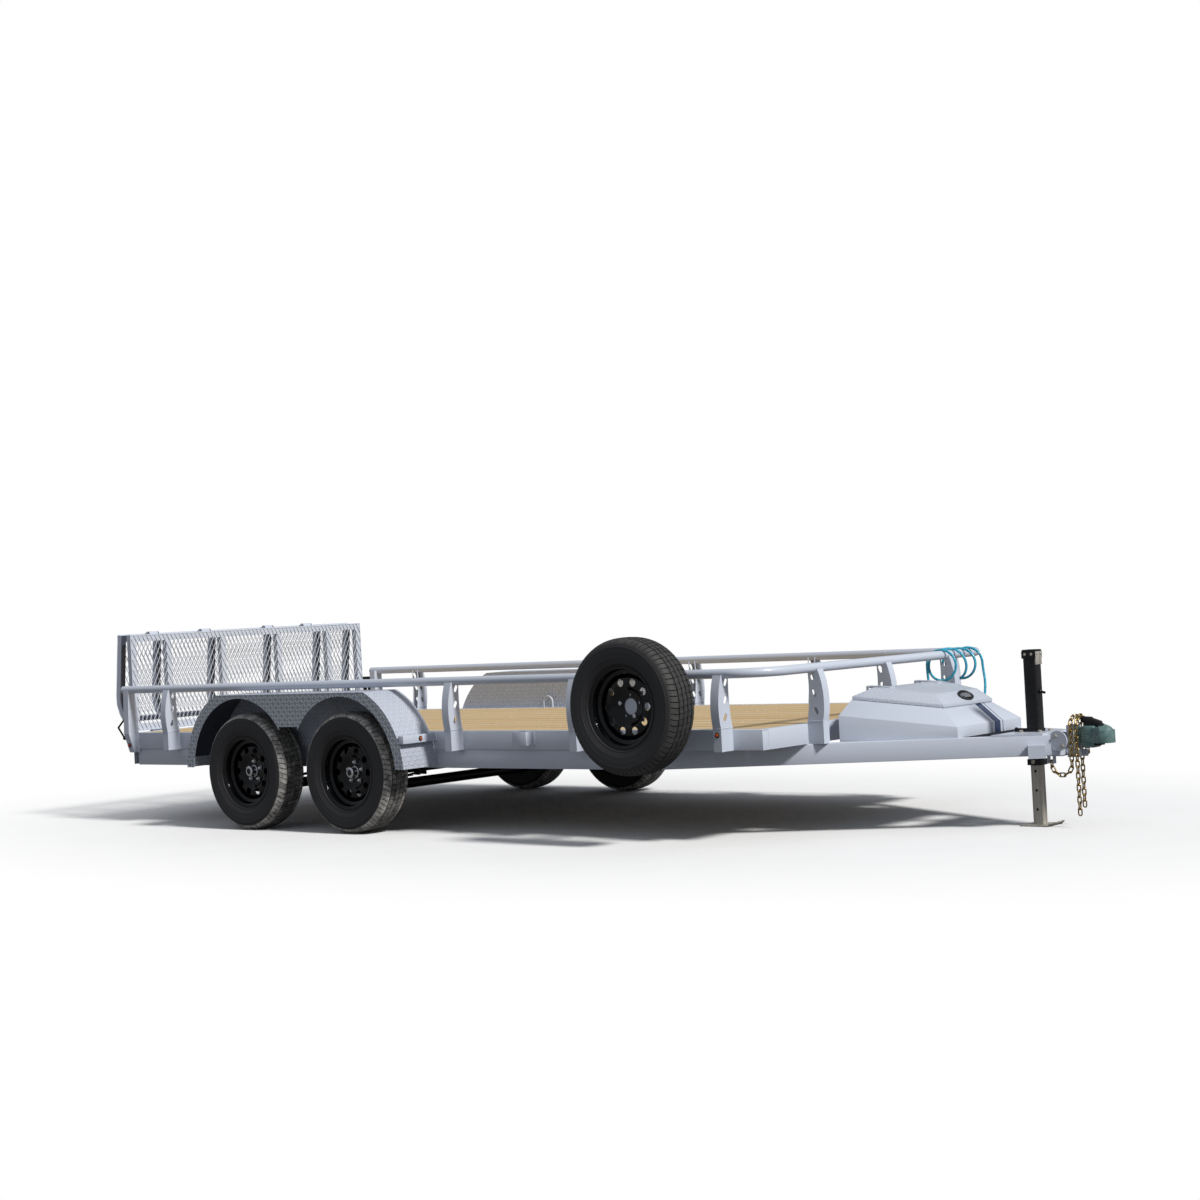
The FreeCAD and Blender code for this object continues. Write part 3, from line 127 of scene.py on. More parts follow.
class Shader:
    """A material's node tree, built up socket by socket.

    A lug is an oval on a square cell's diagonal: lug_size is its length and width in half
    cells, and lug_crown is how far down its side it is still rounded.
    """

    lug_size: tuple[float, float] = (0.92, 0.30)
    lug_crown: float = 0.6

    def __init__(self, name: str) -> None:
        """Starts a material with its principled shader.

        Args:
            name: The material's name.
        """
        self.material = bpy.data.materials.new(name)
        self.material.use_nodes = True
        self.tree = self.material.node_tree
        self.surface = self.tree.nodes["Principled BSDF"]
        self.coordinates = self.tree.nodes.new("ShaderNodeTexCoord")

    def put(self, **values: float | Colour | Socket) -> None:
        """Feeds the principled shader's inputs by name, with underscores for spaces."""
        self.fill(self.surface, values)

    def fill(self, node: bpy.types.Node, values: dict[str, float | Colour | Socket]) -> None:
        """Feeds a node's inputs by name, with underscores for spaces."""
        for name, value in values.items():
            self.feed(node.inputs[name.replace("_", " ")], value)

    def node(self, kind: str, **values: float | Colour | Socket) -> bpy.types.Node:
        """Adds a node.

        Args:
            kind: Its type, without the ShaderNode at the start.
            values: What its inputs take, as for fill.

        Returns:
            The node.
        """
        made = self.tree.nodes.new("ShaderNode" + kind)
        self.fill(made, values)
        return made

    def feed(self, target: Socket, value: float | Colour | Socket) -> None:
        """Links a socket, or sets its value.

        Args:
            target: The input to feed.
            value: What it takes.
        """
        if isinstance(value, bpy.types.NodeSocket):
            self.tree.links.new(value, target)
        else:
            target.default_value = value

    def point(self) -> Socket:
        """Returns the point in object space."""
        return self.coordinates.outputs["Object"]

    def axes(self, vector: Socket) -> tuple[Socket, Socket, Socket]:
        """Returns a vector's three parts."""
        return tuple(self.node("SeparateXYZ", Vector=vector).outputs)

    def join(self, x: float | Socket, y: float | Socket, z: float | Socket) -> Socket:
        """Returns the vector of three parts."""
        return self.node("CombineXYZ", X=x, Y=y, Z=z).outputs[0]

    def math(self, operation: str, *values: float | Socket) -> Socket:
        """Adds a math node.

        Args:
            operation: The node's operation.
            values: Its one to three inputs.

        Returns:
            The result.
        """
        node = self.node("Math")
        node.operation = operation
        for socket, value in zip(node.inputs, values):
            self.feed(socket, value)
        return node.outputs[0]

    def times(self, first: float | Socket, second: float | Socket) -> Socket:
        """Returns the product."""
        return self.math("MULTIPLY", first, second)

    def minus(self, first: float | Socket, second: float | Socket) -> Socket:
        """Returns the difference."""
        return self.math("SUBTRACT", first, second)

    def ease(self, value: Socket, low: float, high: float) -> Socket:
        """Rises smoothly from 0 at low to 1 at high.

        Args:
            value: What is read.
            low: Where the result is 0.
            high: Where the result is 1.

        Returns:
            The eased value.
        """
        node = self.node("MapRange", Value=value, From_Min=low, From_Max=high)
        node.interpolation_type = "SMOOTHSTEP"
        return node.outputs["Result"]

    def scaled(self, value: Socket, low: float, high: float) -> Socket:
        """Maps 0 to 1 onto the range from low to high."""
        return self.node("MapRange", Value=value, To_Min=low, To_Max=high).outputs["Result"]

    def blend(self, factor: Socket, first: Colour | Socket, second: Colour | Socket) -> Socket:
        """Mixes two colours.

        Args:
            factor: How much of the second shows.
            first: The first colour.
            second: The second colour.

        Returns:
            The mixed colour.
        """
        node = self.node("Mix")
        node.data_type = "RGBA"
        for index, value in ((0, factor), (6, first), (7, second)):
            self.feed(node.inputs[index], value)
        return node.outputs[2]

    def noise(self, scale: float, detail: float = 3.0, vector: Socket | None = None,
              roughness: float = 0.5) -> Socket:
        """Adds cloudy noise.

        Args:
            scale: Cells a metre.
            detail: Octaves.
            vector: Where it is read, or nothing for the object's point.
            roughness: How strong the fine octaves are.

        Returns:
            The noise, about 0 to 1.
        """
        return self.node("TexNoise", Vector=self.point() if vector is None else vector,
                         Scale=scale, Detail=detail, Roughness=roughness).outputs["Fac"]

    def stretched(self, x: float, y: float, z: float) -> Socket:
        """Returns the object's point scaled along each axis."""
        return self.node("Mapping", Vector=self.point(), Scale=(x, y, z)).outputs["Vector"]

    def relief(self, height: Socket, depth: float, strength: float = 1.0,
               under: Socket | None = None) -> Socket:
        """Turns a height into a bumped normal.

        Args:
            height: The height, from 0 to 1.
            depth: What a height of 1 stands for.
            strength: How strongly it shows.
            under: A normal to start from.

        Returns:
            The normal.
        """
        node = self.node("Bump", Height=height, Distance=depth, Strength=strength)
        if under is not None:
            self.feed(node.inputs["Normal"], under)
        return node.outputs["Normal"]

    def lugs(self, pitch: float) -> Socket:
        """Draws the raised lugs of treadplate on whichever plane a face lies in.

        Args:
            pitch: Distance from lug to lug.

        Returns:
            The lugs' height, from 0 to 1.
        """
        x, y, z = self.axes(self.point())
        nx, ny, nz = [self.math("ABSOLUTE", part)
                      for part in self.axes(self.coordinates.outputs["Normal"])]
        sideways = self.math("GREATER_THAN", ny, 0.7)
        upright = self.math("MAXIMUM", sideways, self.math("GREATER_THAN", nx, nz))
        frontal = self.minus(upright, sideways)
        across = self.choose(frontal, x, y)
        along = self.choose(upright, y, z)
        cells = []
        for value in (across, along):
            unit = self.math("DIVIDE", value, pitch)
            cells.append((self.math("FLOOR", unit), self.math("FRACT", unit)))
        parity = self.math("FLOORED_MODULO", self.math("ADD", cells[0][0], cells[1][0]), 2.0)
        side = self.math("MULTIPLY_ADD", parity, 2.0, -1.0)
        a = self.minus(cells[0][1], 0.5)
        b = self.minus(cells[1][1], 0.5)
        length = self.math("MULTIPLY_ADD", side, b, a)
        width = self.minus(b, self.times(side, a))
        far = self.math("ADD", *(self.math("POWER", self.math("DIVIDE", reach, size), 2.0)
                                 for reach, size in zip((length, width), self.lug_size)))
        return self.ease(self.minus(1.0, far), 0.0, self.lug_crown)

    def choose(self, switch: Socket, off: Socket, on: Socket) -> Socket:
        """Returns one value where the switch is 0 and the other where it is 1."""
        return self.math("MULTIPLY_ADD", switch, self.minus(on, off), off)


@dataclass(frozen=True)
class Recipe:
    """A finish that is made of a name and what mix puts in its shader."""

    name: str

    def make(self) -> bpy.types.Material:
        """Builds the material.

        Returns:
            The material.
        """
        shader = Shader(self.name)
        self.mix(shader)
        return shader.material

    def mix(self, shader: Shader) -> None:
        """Feeds the shader, in each kind of finish in its own way."""
        raise NotImplementedError


@dataclass(frozen=True)
class Stripe:
    """The navy band and its thin line on the toolbox's front, which lean as they rise."""

    middle: float
    foot: float = 0.513
    lean: float = 0.28
    bands: tuple[tuple[float, float], ...] = ((0.076, 0.030), (0.130, 0.0035))
    facing: float = 0.3
    colour: Colour = shade(38, 52, 84)

    def over(self, shader: Shader, colour: Socket) -> Socket:
        """Paints both bands, each a middle and a half width, over a finish.

        Args:
            shader: The material under way.
            colour: The paint so far.

        Returns:
            The colour with the stripe.
        """
        x, y, z = shader.axes(shader.point())
        rise = shader.math("MAXIMUM", shader.minus(z, self.foot), 0.0)
        across = shader.minus(shader.minus(y, self.middle), shader.times(rise, self.lean))
        inside = [shader.math("LESS_THAN", shader.math("ABSOLUTE", shader.minus(across, middle)),
                              half) for middle, half in self.bands]
        normal = shader.axes(shader.coordinates.outputs["Normal"])
        front = shader.math("GREATER_THAN", normal[0], self.facing)
        mask = shader.times(shader.math("MAXIMUM", *inside), front)
        return shader.blend(mask, colour, self.colour)


@dataclass(frozen=True)
class GreyPaint(Recipe):
    """Cool grey enamel, dusty low down, with treadplate lugs and painted shade between them, or a
    stripe where asked.
    """

    colour: Colour = shade(196, 203, 216)
    dust: Colour = shade(168, 164, 160)
    dust_share: float = 0.55
    dust_reach: tuple[float, float] = (0.22, 0.62)
    roughness: float = 0.36
    lug_pitch: float = 0.0
    lug_depth: float = 0.0030
    # The next two fields set the painted shade on the flat plate between the lugs: how much shows,
    # and how dark it goes.
    lug_painted_shade_share: float = 0.95
    between_lugs_painted_shade: float = 0.46
    stripe: Stripe | None = None

    def mix(self, shader: Shader) -> None:
        """Builds the paint.

        Args:
            shader: The material under way.
        """
        broad = shader.noise(1.3, 4.0)
        fine = shader.noise(46.0, 5.0)
        colour = shader.blend(broad, dimmed(self.colour, 0.93), self.colour)
        height = shader.axes(shader.point())[2]
        low = shader.minus(1.0, shader.ease(height, *self.dust_reach))
        speck = shader.ease(shader.noise(9.0, 8.0, roughness=0.7), 0.52, 0.85)
        dusty = shader.times(shader.times(low, speck), self.dust_share)
        colour = shader.blend(dusty, colour, self.dust)
        skin = shader.relief(shader.noise(520.0, 2.0), 0.00012, 0.5)
        rough = shader.scaled(fine, self.roughness - 0.05, self.roughness + 0.09)
        if self.lug_pitch:
            lugs = shader.lugs(self.lug_pitch)
            # Painted shade: the flat plate between the lugs is darkened, standing in for grazing
            # light that lights only the lugs.
            colour = shader.blend(shader.scaled(lugs, self.lug_painted_shade_share, 0.0), colour,
                                  dimmed(self.colour, self.between_lugs_painted_shade))
            skin = shader.relief(lugs, self.lug_depth, 1.0, skin)
        if self.stripe:
            colour = self.stripe.over(shader, colour)
        shader.put(Base_Color=colour, Roughness=rough, Normal=skin, Coat_Weight=0.22,
                   Coat_Roughness=0.12)


@dataclass(frozen=True)
class Pine(Recipe):
    """Fresh sawn pine boards running along X, each with its own grain."""

    pitch: float
    first: float
    pale: Colour = shade(214, 190, 146)
    grain: Colour = shade(186, 152, 104)
    heart: Colour = shade(168, 130, 84)
    bleached: Colour = shade(206, 190, 158)
    knot: Colour = shade(104, 66, 36)
    seam: Colour = shade(84, 62, 42)
    seam_edge: tuple[float, float] = (0.450, 0.486)

    def mix(self, shader: Shader) -> None:
        """Builds the timber.

        Args:
            shader: The material under way.
        """
        x, y, z = shader.axes(shader.point())
        place = shader.math("DIVIDE", shader.minus(y, self.first), self.pitch)
        dice = shader.node("TexWhiteNoise")
        dice.noise_dimensions = "1D"
        shader.feed(dice.inputs["W"], shader.math("FLOOR", place))
        luck = dice.outputs["Value"]
        along = shader.math("MULTIPLY_ADD", luck, 37.0, x)
        across = shader.math("MULTIPLY_ADD", luck, 11.0, y)

        def grown(length: float, width: float, side: Socket, detail: float,
                  roughness: float = 0.5) -> Socket:
            """Returns noise drawn out along the board, with its cells a metre each way."""
            return shader.noise(1.0, detail, shader.join(
                shader.times(along, length), shader.times(side, width), z), roughness)

        ring = shader.math("MULTIPLY_ADD", grown(0.9, 5.0, across, 2.0), 0.11, across)
        fine = grown(1.1, 150.0, ring, 7.0, 0.62)
        wide = grown(0.45, 38.0, ring, 3.0)
        colour = shader.blend(shader.ease(fine, 0.30, 0.72), self.pale, self.grain)
        colour = shader.blend(shader.times(shader.ease(wide, 0.5, 0.75), 0.55), colour, self.heart)
        colour = shader.blend(shader.scaled(luck, 0.0, 0.28), colour, self.bleached)
        knot = shader.node("TexVoronoi", Scale=1.6, Vector=shader.join(
            shader.times(along, 1.5), shader.times(across, 3.4), 0.0))
        dark = shader.minus(1.0, shader.ease(knot.outputs["Distance"], 0.020, 0.055))
        colour = shader.blend(shader.times(dark, 0.95), colour, self.knot)
        edge = shader.math("ABSOLUTE", shader.minus(shader.math("FRACT", place), 0.49))
        seam = shader.ease(edge, *self.seam_edge)
        colour = shader.blend(shader.times(seam, 0.9), colour, self.seam)
        shader.put(Base_Color=colour, Normal=shader.relief(fine, 0.0007, 0.6),
                   Roughness=shader.scaled(fine, 0.62, 0.82), Specular_IOR_Level=0.3)


@dataclass(frozen=True)
class Rubber(Recipe):
    """Tyre rubber: black walls and a dusty tread, told apart by the tread attribute."""

    worn: Colour = shade(96, 95, 94)
    dust: Colour = shade(226, 222, 216)
    wall: tuple[Colour, Colour] = (shade(38, 38, 40), shade(54, 54, 55))

    def mix(self, shader: Shader) -> None:
        """Builds the rubber.

        Args:
            shader: The material under way.
        """
        tread = shader.node("Attribute")
        tread.attribute_name = "tread"
        cloud = shader.noise(24.0, 6.0, roughness=0.65)
        wall = shader.blend(cloud, *self.wall)
        crown = shader.blend(shader.ease(cloud, 0.25, 0.75), self.worn, self.dust)
        colour = shader.blend(tread.outputs["Fac"], wall, crown)
        grit = shader.relief(shader.noise(700.0, 3.0), 0.0003, 0.5)
        shader.put(Base_Color=colour, Normal=grit, Roughness=shader.scaled(cloud, 0.55, 0.78),
                   Specular_IOR_Level=0.4)


@dataclass(frozen=True)
class Plated(Recipe):
    """A metal or a hard glossy or satin coat, with brushed or cloudy changes."""

    dark: Colour
    light: Colour
    metal: float = 1.0
    roughness: float = 0.25
    spread: float = 0.10
    scale: float = 60.0
    coat: float = 0.0
    brushed: bool = False
    grain: float = 0.0
    shine: float = 0.5

    def mix(self, shader: Shader) -> None:
        """Builds the finish.

        Args:
            shader: The material under way.
        """
        where = shader.stretched(6.0, 6.0, 0.25) if self.brushed else None
        cloud = shader.noise(self.scale, 5.0, where)
        shader.put(Base_Color=shader.blend(shader.ease(cloud, 0.3, 0.7), self.dark, self.light),
                   Metallic=self.metal, Coat_Weight=self.coat, Coat_Roughness=0.08,
                   Specular_IOR_Level=self.shine,
                   Roughness=shader.scaled(cloud, self.roughness - self.spread / 2,
                                           self.roughness + self.spread / 2))
        if self.grain:
            shader.put(Normal=shader.relief(shader.noise(260.0, 4.0), self.grain, 0.7))


@dataclass(frozen=True)
class Lens(Recipe):
    """Coloured lamp plastic with fine prisms."""

    colour: Colour
    prisms: float = 1600.0

    def mix(self, shader: Shader) -> None:
        """Builds the lens.

        Args:
            shader: The material under way.
        """
        y, z = shader.axes(shader.point())[1:]
        rows = shader.times(*(shader.math("SINE", shader.times(part, self.prisms))
                              for part in (y, z)))
        shader.put(Base_Color=shader.blend(shader.scaled(rows, 0.3, 1.0),
                                           dimmed(self.colour, 0.45), self.colour),
                   Roughness=0.14, Coat_Weight=0.8, Coat_Roughness=0.04,
                   Normal=shader.relief(rows, 0.0006, 0.4))


class Finish(enum.Enum):
    """The finishes on the trailer, by the record's slot that each belongs to."""

    PAINT = "grey_paint"
    TREADPLATE = "grey_paint:treadplate"
    FENDER = "grey_paint:fender"
    # Painted shade: a darker copy of the grey enamel, laid on faces that sit in shadow.
    SHADED = "grey_paint:shaded"
    TOOLBOX = "grey_paint:stripe"
    PINE = "pine"
    LID = "grey_paint:lid"
    TYRE = "tyre_rubber"
    SPARE = "tyre_rubber:clean"
    WHEEL = "black_wheel"
    CHROME = "zinc:bright"
    BLACK = "black_steel"
    SATIN = "black_steel:soft"
    ZINC = "zinc"
    GOLD = "zinc:yellow"
    CAST = "green_cast"
    CABLE = "teal_cable"
    AMBER = "amber_lens"
    RED = "red_lens"

    @property
    def slot(self) -> str:
        """Returns the record's slot."""
        return self.value.split(":")[0]


class PaintShop:
    """Makes each finish once and hands it out."""

    def __init__(self, datum: Datum, deck: "Deck") -> None:
        """Sets out the finishes.

        Args:
            datum: The drawing's zero.
            deck: The deck, for the boards' pitch.
        """
        self.made: dict[Finish, bpy.types.Material] = {}
        self.recipes = {
            Finish.PAINT: GreyPaint("grey_enamel"),
            Finish.TREADPLATE: GreyPaint("treadplate_enamel", lug_pitch=0.024),
            Finish.FENDER: GreyPaint("fender_enamel", lug_pitch=0.024, lug_painted_shade_share=0.30),
            # Painted shade: the grey enamel darkened for faces in shadow.
            Finish.SHADED: GreyPaint("painted_shade_enamel", shade(68, 72, 86)),
            Finish.LID: GreyPaint("lid_enamel", lug_pitch=0.014, lug_depth=0.0012,
                                  lug_painted_shade_share=0.18),
            Finish.TOOLBOX: GreyPaint("striped_enamel", stripe=Stripe(datum.y)),
            Finish.PINE: Pine("pine_boards", deck.pitch, deck.first + datum.y),
            Finish.TYRE: Rubber("tyre_rubber"),
            Finish.SPARE: Rubber("spare_rubber", shade(44, 44, 44), shade(70, 69, 68)),
            Finish.WHEEL: Plated("wheel_gloss", shade(7, 7, 9), shade(14, 14, 16), 0.0, 0.14,
                                 0.06, 30.0, 0.25, shine=0.25),
            Finish.CHROME: Plated("bright_chrome", shade(206, 208, 212), shade(232, 233, 236),
                                  1.0, 0.12, 0.08),
            Finish.BLACK: Plated("black_enamel", shade(13, 13, 15), shade(24, 24, 27), 0.0, 0.40,
                                 0.14, 40.0, 0.1, grain=0.0002, shine=0.35),
            Finish.SATIN: Plated("black_plastic", shade(18, 18, 20), shade(30, 30, 32), 0.0, 0.55,
                                 0.12, 90.0, grain=0.0002),
            Finish.ZINC: Plated("zinc_steel", shade(162, 155, 144), shade(200, 195, 186), 0.35,
                                0.42, 0.16, 9.0, brushed=True),
            Finish.GOLD: Plated("yellow_zinc", shade(150, 122, 74), shade(206, 182, 128), 1.0,
                                0.30, 0.16, 120.0),
            Finish.CAST: Plated("green_casting", shade(78, 106, 106), shade(104, 132, 130), 0.0,
                                0.40, 0.14, 35.0, 0.3, grain=0.0006),
            Finish.CABLE: Plated("teal_sheath", shade(34, 146, 178), shade(66, 182, 208), 0.0,
                                 0.34, 0.10, 80.0, 0.2),
            Finish.AMBER: Lens("amber_plastic", shade(214, 96, 28)),
            Finish.RED: Lens("red_plastic", shade(168, 20, 22)),
        }

    def get(self, finish: Finish) -> bpy.types.Material:
        """Returns the finish's material, made the first time it is asked for."""
        if finish not in self.made:
            self.made[finish] = self.recipes[finish].make()
        return self.made[finish]


class Work:
    """A mesh under way, shaped by operators and then made a piece.

    Edges of a new solid that bend by more than sharp, in radians, can be rounded.
    """

    sharp: float = 0.6

    def __init__(self, shop: PaintShop) -> None:
        """Starts an empty mesh.

        Args:
            shop: Where the finishes come from.
        """
        self.shop = shop
        self.bm = bmesh.new()

    def bevelled(self, verts: Iterable[bmesh.types.BMVert], width: float,
                 segments: int = 2) -> None:
        """Rounds the edges of a new solid.

        Args:
            verts: The solid's corners.
            width: How far the rounding reaches.
            segments: Steps across it.
        """
        self.rounded(list({edge for vert in verts for edge in vert.link_edges
                           if edge.calc_face_angle(0.0) > self.sharp}), width, segments)

    def rounded(self, edges: list[bmesh.types.BMEdge], width: float, segments: int = 2) -> None:
        """Rounds edges.

        Args:
            edges: The edges.
            width: How far the rounding reaches.
            segments: Steps across it.
        """
        bmesh.ops.bevel(self.bm, geom=edges, offset=width, offset_type="OFFSET",
                        segments=segments, profile=0.5, affect="EDGES", material=-1,
                        clamp_overlap=True)

    def moved(self, place: Matrix) -> None:
        """Moves and turns all that is in the mesh."""
        bmesh.ops.transform(self.bm, matrix=place, verts=self.bm.verts)

    def box(self, low: Vector, high: Vector, bevel: float = 0.0,
            turn: Matrix | None = None) -> list[bmesh.types.BMVert]:
        """Adds a box between two corners.

        Args:
            low: Its lowest corner.
            high: Its highest corner.
            bevel: Width of its rounded edges.
            turn: A turn about its centre.

        Returns:
            Its corners.
        """
        size = high - low
        place = Matrix.Translation((low + high) / 2) @ (turn or Matrix.Identity(4))
        made = bmesh.ops.create_cube(self.bm, size=1.0,
                                     matrix=place @ Matrix.Diagonal((*size, 1.0)))
        if bevel:
            self.bevelled(made["verts"], bevel)
        return made["verts"]

    def rod(self, start: Vector, end: Vector, radius: float, steps: int = 24,
            bevel: float = 0.0, tip: float | None = None) -> list[bmesh.types.BMVert]:
        """Adds a rod or a cone between two points.

        Args:
            start: One end's centre.
            end: The other end's centre.
            radius: Radius at the start.
            steps: Sides round it.
            bevel: Width of its rounded rims.
            tip: Radius at the end, if it differs.

        Returns:
            Its corners.
        """
        along = end - start
        turn = along.to_track_quat("Z", "Y").to_matrix().to_4x4()
        place = Matrix.Translation((start + end) / 2) @ turn
        made = bmesh.ops.create_cone(
            self.bm, cap_ends=True, segments=steps, radius1=radius,
            radius2=radius if tip is None else tip, depth=along.length, matrix=place)
        if bevel:
            self.bevelled(made["verts"], bevel, 1)
        return made["verts"]

    def nut(self, at: Vector, out: Vector, across: float, height: float) -> None:
        """Adds a hexagon nut with a washer; across is its radius over the corners."""
        self.rod(at, at + out * height * 0.18, across * 1.25, 16)
        self.rod(at + out * height * 0.15, at + out * height, across, 6, across * 0.12)

    def turned(self, profile: Profile, centre: Vector, axis: Vector, steps: int,
               closed: bool = False) -> list[bmesh.types.BMVert]:
        """Spins a profile round an axis.

        Args:
            profile: Pairs of distance along the axis and radius.
            centre: Where the distance is 0.
            axis: The direction of the axis.
            steps: Steps of the full turn.
            closed: Whether the last point joins the first.

        Returns:
            The corners of the turned shape.
        """
        out = axis.orthogonal().normalized()
        line = [self.bm.verts.new(centre + axis * a + out * r) for a, r in profile]
        pairs = list(zip(line, line[1:])) + ([(line[-1], line[0])] if closed else [])
        edges = [self.bm.edges.new(pair) for pair in pairs]
        before = set(self.bm.verts) - set(line)
        bmesh.ops.spin(self.bm, geom=line + edges, cent=centre, axis=axis,
                       angle=math.tau, steps=steps, use_merge=True)
        fresh = [vert for vert in self.bm.verts if vert not in before]
        bmesh.ops.remove_doubles(self.bm, verts=fresh, dist=1e-6)
        return [vert for vert in self.bm.verts if vert not in before]

    @contextlib.contextmanager
    def painted(self, index: int) -> Iterator[None]:
        """Gives all that is added meanwhile one of the piece's finishes.

        Args:
            index: The finish's number.
        """
        before = set(self.bm.faces)
        yield
        for face in self.bm.faces:
            if face not in before:
                face.material_index = index

    def piece(self, name: str, body: str, finishes: Sequence[Finish], smooth: float = 32.0,
              stands_for: Sequence[str] = (), outward: bool = True) -> bpy.types.Object:
        """Makes the mesh a piece that rides on a body.

        Args:
            name: The piece's name.
            body: The body it moves with.
            finishes: Its finishes, the first being the main one.
            smooth: The angle in degrees above which an edge is sharp.
            stands_for: CAD nodes that it replaces.
            outward: Whether the faces are turned outwards.

        Returns:
            The piece.
        """
        if outward:
            bmesh.ops.recalc_face_normals(self.bm, faces=self.bm.faces)
        mesh = bpy.data.meshes.new(name)
        self.bm.to_mesh(mesh)
        self.bm.free()
        mesh.shade_smooth()
        mesh.set_sharp_from_angle(angle=math.radians(smooth))
        made = shown(name, mesh)
        for finish in finishes:
            mesh.materials.append(self.shop.get(finish))
        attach(made, body)
        if stands_for:
            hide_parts(*stands_for)
        LOG.info("%s: %d faces on %s", name, len(mesh.polygons), body)
        return made


@dataclass
class Studio:
    """Camera, floor, lamps and world."""

    datum: Datum
    eye: tuple[float, float, float] = (9.1798, -9.2375, 1.1794)
    yaw: float = 130.5098
    pitch: float = 0.3037
    roll: float = -3.111
    lens: float = 62.43
    floor_size: float = 60.0
    world_level: float = 0.33
    sun_level: float = 3.45
    sun_angle: float = 9.0
    sun_towards: tuple[float, float, float] = (-0.74, 0.06, -0.66)
    sun_colour: tuple[float, float, float] = (1.0, 0.985, 0.955)
    sky: Colour = shade(238, 244, 255)
    floor_bounce: float = 0.20
    floor_shades: tuple[Colour, Colour] = (shade(240, 240, 240), shade(246, 246, 246))
    fade_length: float = 0.55
    fade_reach: tuple[float, float] = (1.6, 3.4)

    def camera(self) -> None:
        """Sets the camera where the photograph was taken from."""
        yaw, pitch, roll = (math.radians(a) for a in (self.yaw, self.pitch, self.roll))
        ahead = Vector((math.cos(yaw) * math.cos(pitch), math.sin(yaw) * math.cos(pitch),
                        math.sin(pitch)))
        right = ahead.cross(UP).normalized()
        up = right.cross(ahead)
        across = right * math.cos(roll) + up * math.sin(roll)
        upward = up * math.cos(roll) - right * math.sin(roll)
        data = bpy.data.cameras.new("camera")
        data.lens, data.sensor_width, data.clip_end = self.lens, 36.0, 200.0
        made = shown("camera", data)
        made.matrix_world = Matrix.Translation(self.datum.at(*self.eye)) @ Matrix(
            (across, upward, -ahead)).transposed().to_4x4()
        bpy.context.scene.camera = made

    def floor(self) -> None:
        """Lays the pale floor, which turns plain white away from the trailer."""
        bm = bmesh.new()
        bmesh.ops.create_grid(bm, x_segments=2, y_segments=2, size=self.floor_size)
        mesh = bpy.data.meshes.new("floor")
        bm.to_mesh(mesh)
        bm.free()
        made = shown("floor", mesh)
        shader = Shader("pale_floor")
        seen = self.seen(shader.tree)
        pale = shader.blend(shader.noise(3.0, 4.0), *self.floor_shades)
        dim = (self.floor_bounce, self.floor_bounce, self.floor_bounce, 1.0)
        shader.put(Base_Color=shader.blend(seen, dim, pale), Roughness=0.9,
                   Specular_IOR_Level=0.1)
        away = shader.node("VectorMath")
        away.operation = "LENGTH"
        shader.feed(away.inputs[0], shader.stretched(self.fade_length, 1.0, 1.0))
        fade = shader.times(shader.ease(away.outputs["Value"], *self.fade_reach), seen)
        self.mixed(shader.tree, fade, shader.surface, shader.node("Emission"), "Material Output")
        mesh.materials.append(shader.material)

    def seen(self, tree: bpy.types.NodeTree) -> Socket:
        """Tells rays that show the background apart from those that light the trailer.

        Args:
            tree: The node tree.

        Returns:
            1 for camera and transmitted rays.
        """
        path = tree.nodes.new("ShaderNodeLightPath")
        node = tree.nodes.new("ShaderNodeMath")
        node.operation = "MAXIMUM"
        tree.links.new(path.outputs["Is Camera Ray"], node.inputs[0])
        tree.links.new(path.outputs["Is Transmission Ray"], node.inputs[1])
        return node.outputs[0]

    def mixed(self, tree: bpy.types.NodeTree, share: Socket, first: bpy.types.Node,
              second: bpy.types.Node, output: str) -> None:
        """Shows a mix of two shaders.

        Args:
            tree: The node tree.
            share: How much of the second shader shows.
            first: The first shader.
            second: The second shader.
            output: The name of the tree's output node.
        """
        node = tree.nodes.new("ShaderNodeMixShader")
        for source, target in zip((share, first.outputs[0], second.outputs[0]), node.inputs):
            tree.links.new(source, target)
        tree.links.new(node.outputs[0], tree.nodes[output].inputs["Surface"])

    def light(self) -> None:
        """Lights the trailer from its front, high up, and lets the world fill in."""
        data = bpy.data.lights.new("key", "SUN")
        data.energy, data.angle = self.sun_level, math.radians(self.sun_angle)
        data.color = self.sun_colour
        made = shown("key", data)
        made.rotation_mode = "QUATERNION"
        made.rotation_quaternion = Vector(self.sun_towards).to_track_quat("-Z", "Y")
        world = bpy.data.worlds.new("world")
        world.use_nodes = True
        bpy.context.scene.world = world
        tree = world.node_tree
        plain = tree.nodes["Background"]
        plain.inputs["Color"].default_value = self.sky
        plain.inputs["Strength"].default_value = self.world_level
        white = tree.nodes.new("ShaderNodeBackground")
        white.inputs["Color"].default_value = (1.0, 1.0, 1.0, 1.0)
        self.mixed(tree, self.seen(tree), plain, white, "World Output")
        bpy.context.scene.view_settings.view_transform = "Standard"


